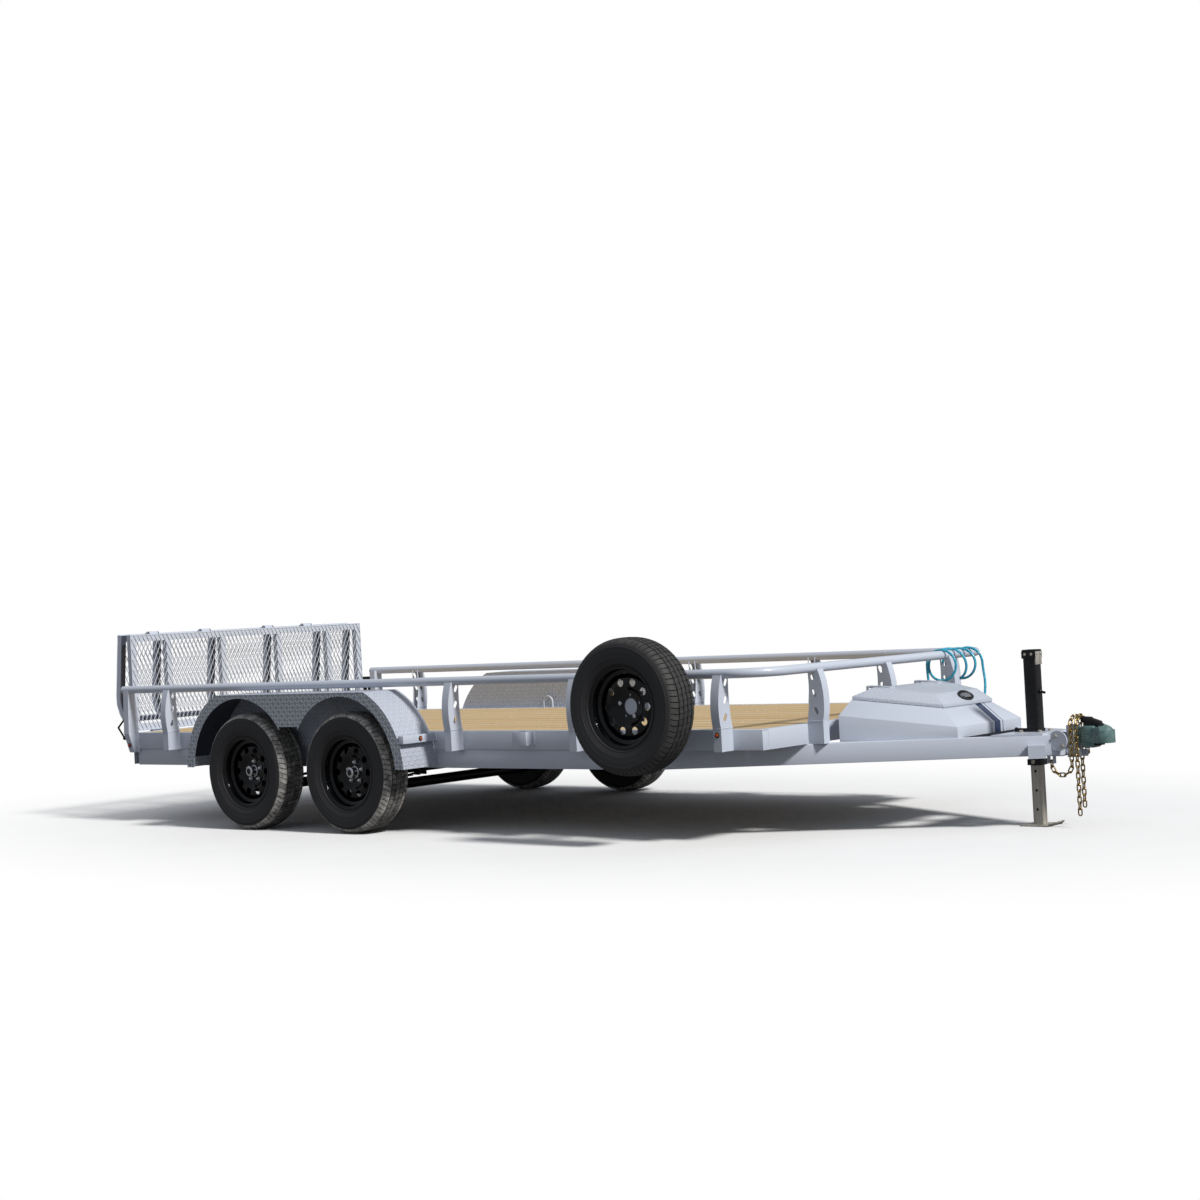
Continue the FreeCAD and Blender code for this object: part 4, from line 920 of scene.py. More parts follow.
@dataclass
class Lead:
    """The teal trailer lead, wound round the front rail."""

    datum: Datum
    shop: PaintShop
    diameter: float = 0.014
    rail_x: float = 3.214
    turn_z: float = 0.7833
    turn_radius: float = 0.087
    turn_steps: int = 14
    length: float = 2.47
    pins: int = 7
    rise: tuple[tuple[float, float, float], ...] = (
        (3.188, 0.800, 0.500), (3.258, 0.800, 0.500), (3.318, 0.822, 0.558),
        (3.322, 0.850, 0.660), (3.301, 0.864, 0.752))
    drop: tuple[tuple[float, float, float], ...] = (
        (3.127, 0.567, 0.752), (3.131, 0.569, 0.690), (3.131, 0.569, 0.640))

    def turns(self, start: float, end: float, y0: float, y1: float,
              lean: float) -> list[Vector]:
        """Winds the lead round the rail.

        Args:
            start: Angle of the first point in degrees, 0 at the front and 90 on top.
            end: Angle of the last point.
            y0: Place along the rail at the start.
            y1: Place along the rail at the end.
            lean: How far each turn leans along the rail.

        Returns:
            The points of the turns.
        """
        count = round((end - start) / 360 * self.turn_steps)
        points = []
        for n in range(count + 1):
            part = n / count
            angle = math.radians(start + (end - start) * part)
            radius = self.turn_radius + 0.002 * math.sin(2.3 * angle)
            y = y0 + (y1 - y0) * part + lean * math.sin(angle + 0.6) * math.sin(math.pi * part)
            points.append(self.datum.at(self.rail_x + radius * math.cos(angle), y,
                                        self.turn_z + radius * math.sin(angle)))
        return points

    def build(self) -> None:
        """Lays the lead as one smooth line and hangs the plug on it."""
        route = ([self.datum.at(*point) for point in self.rise]
                 + self.turns(12.0, 810.0, 0.862, 0.668, 0.016)
                 + self.turns(90.0, 528.0, 0.592, 0.566, 0.008)
                 + [self.datum.at(*point) for point in self.drop])
        curve = bpy.data.curves.new("cable", "CURVE")
        curve.dimensions = "3D"
        spline = curve.splines.new("NURBS")
        spline.points.add(len(route) - 1)
        for knot, point in zip(spline.points, route):
            knot.co = (*point, 1.0)
        spline.order_u = 3
        spline.use_endpoint_u = True
        spline.resolution_u = 6
        curve.bevel_depth = self.diameter / 2
        curve.bevel_resolution = 4
        curve.materials.append(self.shop.get(Finish.CABLE))
        made = shown("cable", curve)
        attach(made, "frame")
        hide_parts("cable_lead", "cable_coil_far", "cable_bridge", "cable_coil_near",
                    "cable_tail")
        self.plug(route[-1])
        self.gland(route[0])

    def gland(self, at: Vector) -> bpy.types.Object:
        """Fits the tapered relief where the lead leaves the rail.

        Args:
            at: Where the lead comes out.

        Returns:
            The relief.
        """
        work = Work(self.shop)
        profile = [(-0.018, 0.0), (-0.018, 0.013), (-0.012, 0.013), (-0.010, 0.0115),
                   (0.006, 0.0105), (0.024, 0.0078), (0.026, 0.0064), (0.026, 0.0)]
        work.turned(profile, at, AHEAD, 20)
        return work.piece("cable_relief", "frame", [Finish.SATIN],
                          stands_for=["cable_gland"])

    def plug(self, at: Vector) -> bpy.types.Object:
        """Builds the round trailer plug.

        Args:
            at: Where the lead enters it.

        Returns:
            The plug.
        """
        work = Work(self.shop)
        profile = [(-0.012, 0.0), (-0.012, 0.0068), (0.006, 0.010), (0.010, 0.016),
                   (0.016, 0.019), (0.026, 0.0215), (0.046, 0.0215), (0.048, 0.0195),
                   (0.059, 0.0195), (0.060, 0.017), (0.060, 0.0)]
        work.turned(profile, at, Vector((0, 0, -1)), 28)
        for n in range(self.pins):
            angle = math.tau * n / self.pins
            pin = at + Vector((0.010 * math.cos(angle), 0.010 * math.sin(angle), -0.0585))
            with work.painted(1):
                work.rod(pin, pin - UP * 0.0014, 0.0022, 10)
        return work.piece("cable_plug_body", "frame", [Finish.SATIN, Finish.ZINC],
                          stands_for=["cable_plug"])


@dataclass
class Tyre:
    """A trailer tyre with ribbed walls, a round shoulder, grooves and fine slots.

    The tread mark is worn_side beyond worn_edge and worn_crown between, and 0 elsewhere.
    Slots are cut beyond slot_edge and in the ribs, as far down as rib_depth.
    """

    shop: PaintShop
    radius: float = 0.344
    pitches: int = 72
    slot_share: float = 0.17
    groove: float = 0.0080
    shoulder_cut: float = 0.0065
    rib_cut: float = 0.0030
    shoulder_edge: float = 0.0905
    shoulder_drop: float = 0.0230
    sweep: float = 0.020
    zigzag: float = 0.013
    wander: float = 0.0013
    wave: tuple[float, float] = (0.12, 0.049)
    worn_edge: float = 0.0515
    worn_side: float = 1.0
    worn_crown: float = 0.45
    slot_edge: float = 0.0525
    ribs: tuple[tuple[float, float], ...] = ((-0.0120, 0.0120), (0.0205, 0.0440))
    rib_depth: float = 0.004
    rib_edge: float = 0.046

    def half(self) -> Profile:
        """Lays out the section from the bead to the middle of the tread.

        Returns:
            Pairs of distance from the middle and radius.
        """
        top, low = self.radius, self.radius - self.groove
        wall = [(0.0755, 0.1906), (0.0765, 0.2095), (0.0800, 0.2145), (0.0852, 0.2165),
                (0.0864, 0.2200), (0.0852, 0.2235), (0.0900, 0.2330), (0.0940, 0.2450),
                (0.0955, 0.2460), (0.0958, 0.2480), (0.0956, 0.2495), (0.0978, 0.2620),
                (0.0992, 0.2740), (0.0998, 0.2860), (0.0990, 0.2965), (0.0996, 0.2980),
                (0.0994, 0.3005), (0.0980, 0.3020), (0.0962, 0.3090), (0.0938, 0.3155)]
        shoulder = [(self.shoulder_edge, top - self.shoulder_drop), (0.0870, top - 0.0178),
                    (0.0820, top - 0.0132), (0.0760, top - 0.0093), (0.0690, top - 0.0060),
                    (0.0600, top - 0.0036), (0.0522, top - 0.0024), (0.0510, low - 0.0020),
                    (0.0455, low - 0.0018)]
        crown = [(0.0443, top - 0.0016), (0.0320, top - 0.0008), (0.0200, top - 0.0003),
                 (0.0188, low), (0.0140, low), (0.0128, top)]
        return wall + shoulder + crown

    def inside(self) -> Profile:
        """Returns the section of the tyre's inner cavity from one bead to the other."""
        half = [(0.062, 0.1906), (0.062, 0.208), (0.078, 0.232), (0.088, 0.278),
                (0.081, 0.305), (0.062, 0.325)]
        return half + [(-y, r) for y, r in half[::-1]]

    def build(self, name: str, body: str, node: str, finish: Finish) -> None:
        """Makes one tyre in the place of its CAD node.

        Args:
            name: The piece's name.
            body: The body it turns with.
            node: The CAD node that it replaces.
            finish: Its rubber.
        """
        low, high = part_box(node)
        work = Work(self.shop)
        half = self.half()
        section = [(-y, r) for y, r in half] + half[::-1] + self.inside()
        work.turned(section, Vector(), LEFT, 2 * self.pitches, closed=True)
        mark = work.bm.verts.layers.float.new("tread")
        floor = self.radius - self.groove + 0.001
        for vert in work.bm.verts:
            reach = math.hypot(vert.co.x, vert.co.z)
            side = abs(vert.co.y) > self.worn_edge
            worn = (side or reach > floor) and reach > self.radius - self.shoulder_drop - 1e-4
            vert[mark] = (self.worn_side if side else self.worn_crown) if worn else 0.0
        self.pattern(work.bm, mark)
        bmesh.ops.translate(work.bm, verts=work.bm.verts, vec=(low + high) / 2)
        work.piece(name, body, [finish], 28.0, [node])

    def pattern(self, bm: bmesh.types.BMesh, mark: bmesh.types.BMLayerItem) -> None:
        """Narrows every second step to a slot and sinks it in the ribs.

        Args:
            bm: The plain tyre about the Y axis.
            mark: The layer that tells the tread from the rest.
        """
        step = math.tau / (2 * self.pitches)
        shift = step * (1 - 2 * self.slot_share)
        cuts: dict[float, list[bmesh.types.BMFace]] = {self.shoulder_cut: [], self.rib_cut: []}
        for face in bm.faces:
            middle = face.calc_center_median()
            reach, off = math.hypot(middle.x, middle.z), abs(middle.y)
            ring = math.floor(math.atan2(middle.z, middle.x) / step)
            if ring % 2 == 0 or reach < self.radius - self.shoulder_drop:
                continue
            if self.slot_edge < off < self.shoulder_edge:
                cuts[self.shoulder_cut].append(face)
            elif (any(inner < off < outer for inner, outer in self.ribs)
                  and reach > self.radius - self.rib_depth):
                cuts[self.rib_cut].append(face)
        rings = [(vert, round(math.atan2(vert.co.z, vert.co.x) / step)) for vert in bm.verts]
        for vert, ring in rings:
            depth = self.radius - math.hypot(vert.co.x, vert.co.z)
            share = min(1.0, max(0.0, 2.0 - depth / self.shoulder_drop))
            bend = (self.sweep * math.sin(math.pi * vert.co.y / self.wave[0])
                    + self.zigzag * math.sin(math.tau * vert.co.y / self.wave[1]))
            extra = (shift if ring % 2 else 0.0) + bend * share
            if abs(vert.co.y) < self.rib_edge and depth < self.groove + 0.003:
                vert.co.y += self.wander * (1 if (ring + 1) // 2 % 2 else -1)
            vert.co = Matrix.Rotation(-extra, 3, "Y") @ vert.co
        for depth, faces in cuts.items():
            made = bmesh.ops.extrude_face_region(bm, geom=faces)
            for vert in (item for item in made["geom"] if isinstance(item, bmesh.types.BMVert)):
                reach = math.hypot(vert.co.x, vert.co.z)
                ratio = (reach - depth) / reach
                vert.co.x, vert.co.z = vert.co.x * ratio, vert.co.z * ratio
                vert[mark] = 0.0
            bmesh.ops.delete(bm, geom=faces, context="FACES_ONLY")


@dataclass
class Wheel:
    """A black modular wheel with round vents, its hub, cap and nuts."""

    shop: PaintShop
    vents: int = 10
    vent_circle: float = 0.125
    vent_radius: float = 0.020
    studs: int = 5
    stud_circle: float = 0.05715
    stud_radius: float = 0.0080
    valve_angle: float = 198.0

    def ring(self, count: int, circle: float, turn: float, y: float = 0.0) -> list[Vector]:
        """Returns points spread evenly round the axle, the first turned from X."""
        return [around(circle, math.tau * n / count + turn, y) for n in range(count)]

    def barrel(self) -> Profile:
        """Lays out the rim's section, outer face at minus Y.

        Returns:
            Pairs of distance along the axle and radius.
        """
        outer = [(-0.0800, 0.2080), (-0.0765, 0.2072), (-0.0755, 0.2030), (-0.0755, 0.1905),
                 (-0.0420, 0.1895), (-0.0330, 0.1720), (0.0330, 0.1720), (0.0420, 0.1895),
                 (0.0755, 0.1905), (0.0755, 0.2030), (0.0765, 0.2072), (0.0800, 0.2080)]
        inner = [(0.0800, 0.2045), (0.0775, 0.1930), (0.0740, 0.1850), (0.0400, 0.1840),
                 (0.0310, 0.1670), (-0.0310, 0.1670), (-0.0400, 0.1838), (-0.0560, 0.1850),
                 (-0.0600, 0.1872), (-0.0700, 0.1880), (-0.0745, 0.1905), (-0.0775, 0.1950),
                 (-0.0800, 0.2045)]
        return outer + inner

    def disc(self) -> Profile:
        """Lays out the wheel disc's section.

        Returns:
            Pairs of distance along the axle and radius.
        """
        face = [(-0.0060, 0.0420), (-0.0066, 0.0440), (-0.0066, 0.0760), (-0.0090, 0.0810),
                (-0.0270, 0.0990), (-0.0300, 0.1050), (-0.0306, 0.1110), (-0.0306, 0.1390),
                (-0.0290, 0.1450), (-0.0200, 0.1580), (-0.0140, 0.1640), (-0.0120, 0.1668)]
        back = [(-0.0080, 0.1668), (-0.0150, 0.1590), (-0.0240, 0.1450), (-0.0250, 0.1390),
                (-0.0250, 0.1110), (-0.0225, 0.1020), (-0.0040, 0.0830), (0.0, 0.0770),
                (0.0, 0.0420)]
        return face + back

    def pierced(self, work: Work) -> None:
        """Cuts the vents and the stud holes through the disc.

        Args:
            work: The mesh with the disc alone in it.
        """
        tool = Work(self.shop)
        for count, circle, radius, turn in (
                (self.vents, self.vent_circle, self.vent_radius, 0.0),
                (self.studs, self.stud_circle, self.stud_radius, math.pi / 2)):
            for at in self.ring(count, circle, turn):
                tool.rod(at - LEFT * 0.06, at + LEFT * 0.03, radius)
        blocks = []
        for source, name in ((work.bm, "disc_blank"), (tool.bm, "disc_cutter")):
            bmesh.ops.recalc_face_normals(source, faces=source.faces)
            mesh = bpy.data.meshes.new(name)
            source.to_mesh(mesh)
            blocks.append(shown(name, mesh))
        tool.bm.free()
        cut = blocks[0].modifiers.new("vents", "BOOLEAN")
        cut.object, cut.operation, cut.solver = blocks[1], "DIFFERENCE", "EXACT"
        bpy.context.view_layer.update()
        graph = bpy.context.evaluated_depsgraph_get()
        result = bpy.data.meshes.new_from_object(blocks[0].evaluated_get(graph))
        work.bm.clear()
        work.bm.from_mesh(result)
        for block in blocks:
            mesh = block.data
            bpy.data.objects.remove(block)
            bpy.data.meshes.remove(mesh)
        bpy.data.meshes.remove(result)

    def build(self, name: str, body: str, node: str, tyre: str, facing: float,
              hub: bool) -> None:
        """Makes one wheel in the place of its CAD node.

        Args:
            name: The start of its pieces' names.
            body: The body it turns with.
            node: The CAD node that it replaces.
            tyre: The tyre's node, for the centre.
            facing: 1 where the outer face looks to minus Y, or -1.
            hub: Whether it has a hub, a cap and nuts.
        """
        low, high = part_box(tyre)
        place = Matrix.Translation((low + high) / 2) @ Matrix.Rotation(
            0.0 if facing > 0 else math.pi, 4, "Z")
        work = Work(self.shop)
        work.turned(self.disc(), Vector(), LEFT, 60, closed=True)
        self.pierced(work)
        work.turned(self.barrel(), Vector(), LEFT, 96, closed=True)
        angle = math.radians(self.valve_angle)
        with work.painted(1):
            work.rod(around(0.187, angle, -0.058), around(0.176, angle, -0.082), 0.0042, 14,
                     0.0006, 0.0036)
        work.moved(place)
        work.piece(f"{name}_rim", body, [Finish.WHEEL, Finish.SATIN], 30.0, [node])
        if hub:
            self.hub(name, body, place)

    def hub(self, name: str, body: str, place: Matrix) -> None:
        """Adds the drum, the cap and the nuts.

        Args:
            name: The start of the pieces' names.
            body: The body they turn with.
            place: Where the wheel is.
        """
        work = Work(self.shop)
        work.turned([(0.001, 0.041), (0.001, 0.078), (0.010, 0.122), (0.014, 0.127),
                     (0.066, 0.127), (0.066, 0.117), (0.020, 0.117), (0.012, 0.060),
                     (0.012, 0.041)], Vector(), LEFT, 48, closed=True)
        work.moved(place)
        work.piece(f"{name}_drum", body, [Finish.BLACK])
        work = Work(self.shop)
        work.turned([(0.012, 0.0), (0.012, 0.0405), (-0.008, 0.0395), (-0.020, 0.0360),
                     (-0.022, 0.0330), (-0.045, 0.0320), (-0.053, 0.0300), (-0.0570, 0.0250),
                     (-0.0580, 0.0200), (-0.0555, 0.0180), (-0.0555, 0.0)], Vector(), LEFT, 40)
        with work.painted(1):
            work.turned([(-0.0550, 0.0), (-0.0550, 0.0172), (-0.0570, 0.0165),
                         (-0.0580, 0.0140), (-0.0580, 0.0)], Vector(), LEFT, 24)
        for at in self.ring(self.studs, self.stud_circle, math.pi / 2, -0.0066):
            for near, far, radius, steps, bevel, tip in (
                    (0.0, 0.004, 0.0105, 20, 0.0004, 0.0125),
                    (0.004, 0.0135, 0.0112, 6, 0.0010, None),
                    (0.0130, 0.0195, 0.0094, 20, 0.0012, 0.0052)):
                work.rod(at - LEFT * near, at - LEFT * far, radius, steps, bevel, tip)
        work.moved(place)
        work.piece(f"{name}_cap", body, [Finish.CHROME, Finish.SATIN], 35.0)


@dataclass
class RampGate:
    """The expanded metal on both panels of the ramp gate."""

    datum: Datum
    shop: PaintShop
    half: float = 1.002
    bottom: float = 0.572
    top: float = 1.184
    sheet_x: float = -1.8505
    flap_x: float = -1.98650
    curve_top: float = 0.785
    curve_radius: float = 0.1915
    curve_angle: float = 55.0
    fold: tuple[float, float] = (-1.9195, 1.192)
    lean: float = 6.6
    cell: tuple[float, float] = (0.033, 0.066)
    lower_strand: float = 0.0080
    flap_strand: float = 0.0062
    thickness: float = 0.0030

    def sheet(self, work: Work, height: float, strand: float) -> None:
        """Fills the mesh with a flat diamond sheet, X across and Y up from 0.

        Args:
            work: The empty mesh.
            height: The sheet's height.
            strand: The strands' width.
        """
        bm = work.bm
        width, high = self.cell
        cells = math.ceil(2 * self.half / width + height / high) + 2
        side = math.sqrt(0.5)
        bmesh.ops.create_grid(bm, x_segments=cells, y_segments=cells, size=cells * side / 2)
        stretch = Matrix.Diagonal((width, high, 1.0, 1.0)) @ Matrix.Rotation(math.pi / 4, 4, "Z")
        bmesh.ops.transform(bm, matrix=Matrix.Translation((0, height / 2, 0)) @ stretch,
                            verts=bm.verts)
        for co, no in (((-self.half, 0, 0), (-1, 0, 0)), ((self.half, 0, 0), (1, 0, 0)),
                       ((0, 0, 0), (0, -1, 0)), ((0, height, 0), (0, 1, 0))):
            bmesh.ops.bisect_plane(bm, geom=bm.verts[:] + bm.edges[:] + bm.faces[:], dist=1e-5,
                                   plane_co=co, plane_no=no, clear_outer=True)
        bmesh.ops.wireframe(bm, faces=bm.faces[:], thickness=strand, offset=0.0,
                            use_replace=True, use_boundary=True, use_even_offset=False,
                            use_relative_offset=False, use_crease=False, crease_weight=1.0,
                            material_offset=0)
        deep = max(vert.co.z for vert in bm.verts) - min(vert.co.z for vert in bm.verts)
        bmesh.ops.scale(bm, vec=(1, 1, self.thickness / deep), verts=bm.verts)
        bmesh.ops.recalc_face_normals(bm, faces=bm.faces)
        # Painted shadow: strand faces turned down and to the left take the darkened enamel.
        for face in bm.faces:
            face.material_index = 1 if max(face.normal.x, face.normal.y) < -0.05 else 0

    def lower(self) -> Work:
        """Covers the lower panel's inner side.

        Returns:
            The mesh under way.
        """
        work = Work(self.shop)
        self.sheet(work, self.top - self.bottom, self.lower_strand)
        spin = Matrix(((0, 0, 1), (1, 0, 0), (0, 1, 0))).to_4x4()
        place = Matrix.Translation(self.datum.at(self.sheet_x, 0.0, self.bottom)) @ spin
        work.moved(place)
        return work

    def bend(self, along: float, out: float) -> Vector:
        """Places a point of the flap's sheet on its curve.

        Args:
            along: Distance down from the flap's top.
            out: Distance from the middle of the sheet, towards the front.

        Returns:
            The drawing point before the flap leans, with Y left at 0.
        """
        straight = self.top - self.curve_top
        if along <= straight:
            return Vector((self.flap_x + out, 0.0, self.top - along))
        angle = (along - straight) / self.curve_radius
        reach = self.curve_radius - out
        return Vector((self.flap_x + self.curve_radius - reach * math.cos(angle), 0.0,
                       self.curve_top - reach * math.sin(angle)))

    def flap(self) -> Work:
        """Covers the folded flap's outer side, bent with its bars.

        Returns:
            The mesh under way.
        """
        work = Work(self.shop)
        height = self.top - self.curve_top + self.curve_radius * math.radians(self.curve_angle)
        self.sheet(work, height, self.flap_strand)
        hinge = self.datum.at(self.fold[0], 0.0, self.fold[1])
        turn = Matrix.Rotation(math.radians(self.lean), 3, "Y")
        for vert in work.bm.verts:
            across, up, out = vert.co
            point = self.bend(height - up, out)
            spot = self.datum.at(point.x, across, point.z)
            vert.co = hinge + turn @ (spot - hinge)
        return work

    def build(self) -> None:
        """Makes both sheets pieces of their panels."""
        for panel, work in (("gate_lower", self.lower()), ("gate_upper", self.flap())):
            work.piece(f"{panel}_expanded", panel, [Finish.PAINT, Finish.SHADED], 40.0,
                       [f"{panel}_mesh"])


@dataclass
class Deck:
    """The pine deck's boards and their screws."""

    rear: float = -1.840
    front: float = 3.170
    inner: float = 0.991
    gap: float = 0.003
    boards: int = 11
    crossmembers: int = 8
    top: float = 0.560
    screw_shift: float = 0.019
    screw_apart: float = 0.052

    @property
    def pitch(self) -> float:
        """Returns the distance from board to board."""
        return (2 * self.inner - self.gap) / self.boards

    @property
    def first(self) -> float:
        """Returns where the first board starts."""
        return -self.inner + self.gap

    def build(self, datum: Datum, shop: PaintShop) -> None:
        """Drives the screws along each crossmember.

        Args:
            datum: The drawing's zero.
            shop: Where the finishes come from.
        """
        work = Work(shop)
        step = (self.front - self.rear) / (self.crossmembers + 1)
        for row in range(1, self.crossmembers + 1):
            x = self.rear + row * step + self.screw_shift
            for board in range(self.boards):
                middle = self.first + (board + 0.5) * self.pitch - self.gap / 2
                for side in (-1, 1):
                    at = datum.at(x, middle + side * self.screw_apart, self.top)
                    work.rod(at - UP * 0.001, at + UP * 0.0012, 0.0058, 10, 0.0, 0.0048)
        work.piece("deck_screws", "frame", [Finish.ZINC])


@dataclass
class Frame:
    """The steel frame: CAD nodes with rounded edges, and its lamps and bolts."""

    datum: Datum
    shop: PaintShop
    nodes: dict[str, bpy.types.Object]
    sharp: float = 0.5

    def soften(self, node: str, finish: Finish, width: float, body: str = "frame") -> None:
        """Replaces a CAD node with a copy whose sharp edges are rounded.

        Args:
            node: The node.
            finish: Its finish.
            width: Width of the rounding.
            body: The body it rides on.
        """
        work = Work(self.shop)
        work.bm.from_mesh(self.nodes[node].data)
        bmesh.ops.remove_doubles(work.bm, verts=work.bm.verts, dist=1e-5)
        bmesh.ops.dissolve_limit(work.bm, angle_limit=math.radians(1.0), verts=work.bm.verts,
                                 edges=work.bm.edges)
        for layer in list(work.bm.loops.layers.uv):
            work.bm.loops.layers.uv.remove(layer)
        work.rounded([edge for edge in work.bm.edges
                      if edge.is_manifold and edge.calc_face_angle(0.0) > self.sharp], width)
        for face in work.bm.faces:
            face.material_index = 0
        work.piece(f"{node}_finished", body, [finish], 28.0, [node], outward=False)

    def dress(self, node: str, *finishes: Finish,
              pick: Callable[[bpy.types.MeshPolygon], int] | None = None) -> None:
        """Gives a CAD node its finishes through its own slots.

        Args:
            node: The node.
            finishes: The finishes, the first being the main one.
            pick: Tells which finish a face takes.
        """
        mesh = self.nodes[node].data
        mesh.materials.clear()
        for finish in finishes:
            mesh.materials.append(self.shop.get(finish))
        for face in mesh.polygons:
            face.material_index = pick(face) if pick else 0

    def lamp(self, work: Work, at: Vector, out: Vector) -> None:
        """Adds a round clearance lamp in its rubber grommet.

        Args:
            work: The mesh under way.
            at: The middle of its seat.
            out: The direction it faces.
        """
        with work.painted(1):
            work.turned([(0.0, 0.0), (0.0, 0.0140), (0.0025, 0.0140), (0.0040, 0.0126),
                         (0.0040, 0.0100), (0.0030, 0.0094), (0.0030, 0.0)], at, out, 28)
        work.turned([(0.0030, 0.0), (0.0030, 0.0090), (0.0070, 0.0086), (0.0088, 0.0068),
                     (0.0096, 0.0038), (0.0098, 0.0)], at, out, 24)

    def lamps(self) -> None:
        """Fits the amber and red clearance lamps on both sides."""
        amber, red = Work(self.shop), Work(self.shop)
        for side in (-1, 1):
            self.lamp(amber, self.datum.at(0.9356, 1.175 * side, 0.532), AHEAD)
            self.lamp(amber, self.datum.at(2.965, 1.136 * side, 0.540), LEFT * side)
            self.lamp(red, self.datum.at(-1.790, 1.098 * side, 0.486), LEFT * side)
        amber.piece("amber_lamps", "frame", [Finish.AMBER, Finish.SATIN],
                    stands_for=["amber_markers"])
        red.piece("corner_lamps", "frame", [Finish.RED, Finish.SATIN])

    def bead(self, work: Work, line: Profile, z: float, radius: float, side: int = 1) -> None:
        """Runs a lumpy weld bead along a level line.

        Args:
            work: The mesh under way.
            line: Its corners' X and Y.
            z: Its height.
            radius: The bead's radius.
            side: -1 for the same line on the right.
        """
        points = [self.datum.at(x, y * side, z) for x, y in line]
        for start, end in zip(points, points[1:]):
            length = (end - start).length
            count = max(2, round(length / (radius * 1.5)))
            along = (end - start).normalized()
            for n in range(count):
                at = start + (end - start) * ((n + 0.5) / count)
                swell = radius * (1.0 + 0.14 * math.sin(7.3 * n))
                work.rod(at - along * radius * 0.9, at + along * radius * 0.9, swell * 0.72, 6,
                         0.0, swell)

    def welds(self) -> None:
        """Welds the posts' knees and feet and the pipe's seams."""
        work = Work(self.shop)
        knee, half, inner, outer = 0.572, 0.025, 1.042, 1.136
        for x in (-1.370, 1.110, 2.020, 2.965):
            for side in (-1, 1):
                self.bead(work, [(x - half, inner), (x - half, outer), (x + half, outer),
                                 (x + half, inner)], knee, 0.0028, side)
                self.bead(work, [(x - half, outer - 0.004), (x + half, outer - 0.004)], 0.458,
                          0.0022, side)
        for y in (-0.630, 0.0, 0.630):
            self.bead(work, [(3.170, y - half), (3.264, y - half), (3.264, y + half),
                             (3.170, y + half)], knee, 0.0020)
        for side in (-1, 1):
            work.turned([(-0.003, 0.0235), (-0.002, 0.0252), (0.002, 0.0252), (0.003, 0.0235)],
                        self.datum.at(2.534, 1.086 * side, 0.839), AHEAD, 32, True)
        work.piece("weld_beads", "frame", [Finish.PAINT], 60.0)

    def caps(self) -> None:
        """Closes the open ends of the deck's side rails and main beams."""
        work = Work(self.shop)
        for side in (-1, 1):
            for x, y, bottom in ((3.1660, 1.0165, 0.462), (-1.8396, 1.0165, 0.462),
                                 (-1.8396, 1.0095, 0.360)):
                middle = self.datum.at(x + 0.0018, y * side, bottom + 0.046)
                reach = Vector((0.0018, 0.0222, 0.0468))
                work.box(middle - reach, middle + reach, 0.0008)
        work.piece("rail_end_caps", "frame", [Finish.PAINT])

    def bolts(self) -> None:
        """Puts in the bolts of the coupler's channel and sides and of the jack's plate."""
        work = Work(self.shop)
        for side in (-1, 1):
            for z in (0.420, 0.470):
                work.nut(self.datum.at(4.294, 0.038 * side, z), LEFT * side, 0.0115, 0.011)
        for x, z in ((4.252, 0.452), (4.286, 0.404)):
            work.nut(self.datum.at(x, -0.118, z), -LEFT, 0.0080, 0.007)
        for y in (-0.052, 0.052):
            for x in (-0.052, 0.052):
                work.nut(self.datum.at(4.082 + x, y, 0.466), UP, 0.0100, 0.010)
        work.piece("frame_bolts", "frame", [Finish.ZINC])

    def lid_latch(self) -> None:
        """Sets the oval paddle latch into the lid's front slope."""
        work = Work(self.shop)
        tray = [(-0.001, 0.0), (-0.001, 0.0320), (0.0040, 0.0350), (0.0085, 0.0360),
                (0.0100, 0.0345), (0.0095, 0.0310), (0.0060, 0.0285), (0.0020, 0.0255),
                (0.0020, 0.0)]
        shell = work.turned(tray, Vector(), UP, 40)
        bmesh.ops.scale(work.bm, vec=(1.0, 1.72, 1.0), verts=shell)
        with work.painted(1):
            work.box(Vector((-0.016, -0.030, 0.0050)), Vector((0.018, 0.036, 0.0085)), 0.0016)
            work.rod(Vector((0.0, -0.043, 0.002)), Vector((0.0, -0.043, 0.0085)), 0.0085, 24,
                     0.0008)
        low, high = self.datum.at(3.7069, 0.030, 0.6193), self.datum.at(3.6416, 0.030, 0.6728)
        slope = math.atan2(high.z - low.z, low.x - high.x)
        place = Matrix.Translation((low + high) / 2) @ Matrix.Rotation(slope, 4, "Y")
        work.moved(place)
        work.piece("lid_paddle", "toolbox_lid", [Finish.SATIN, Finish.CHROME], 35.0,
                   ["lid_latch"])

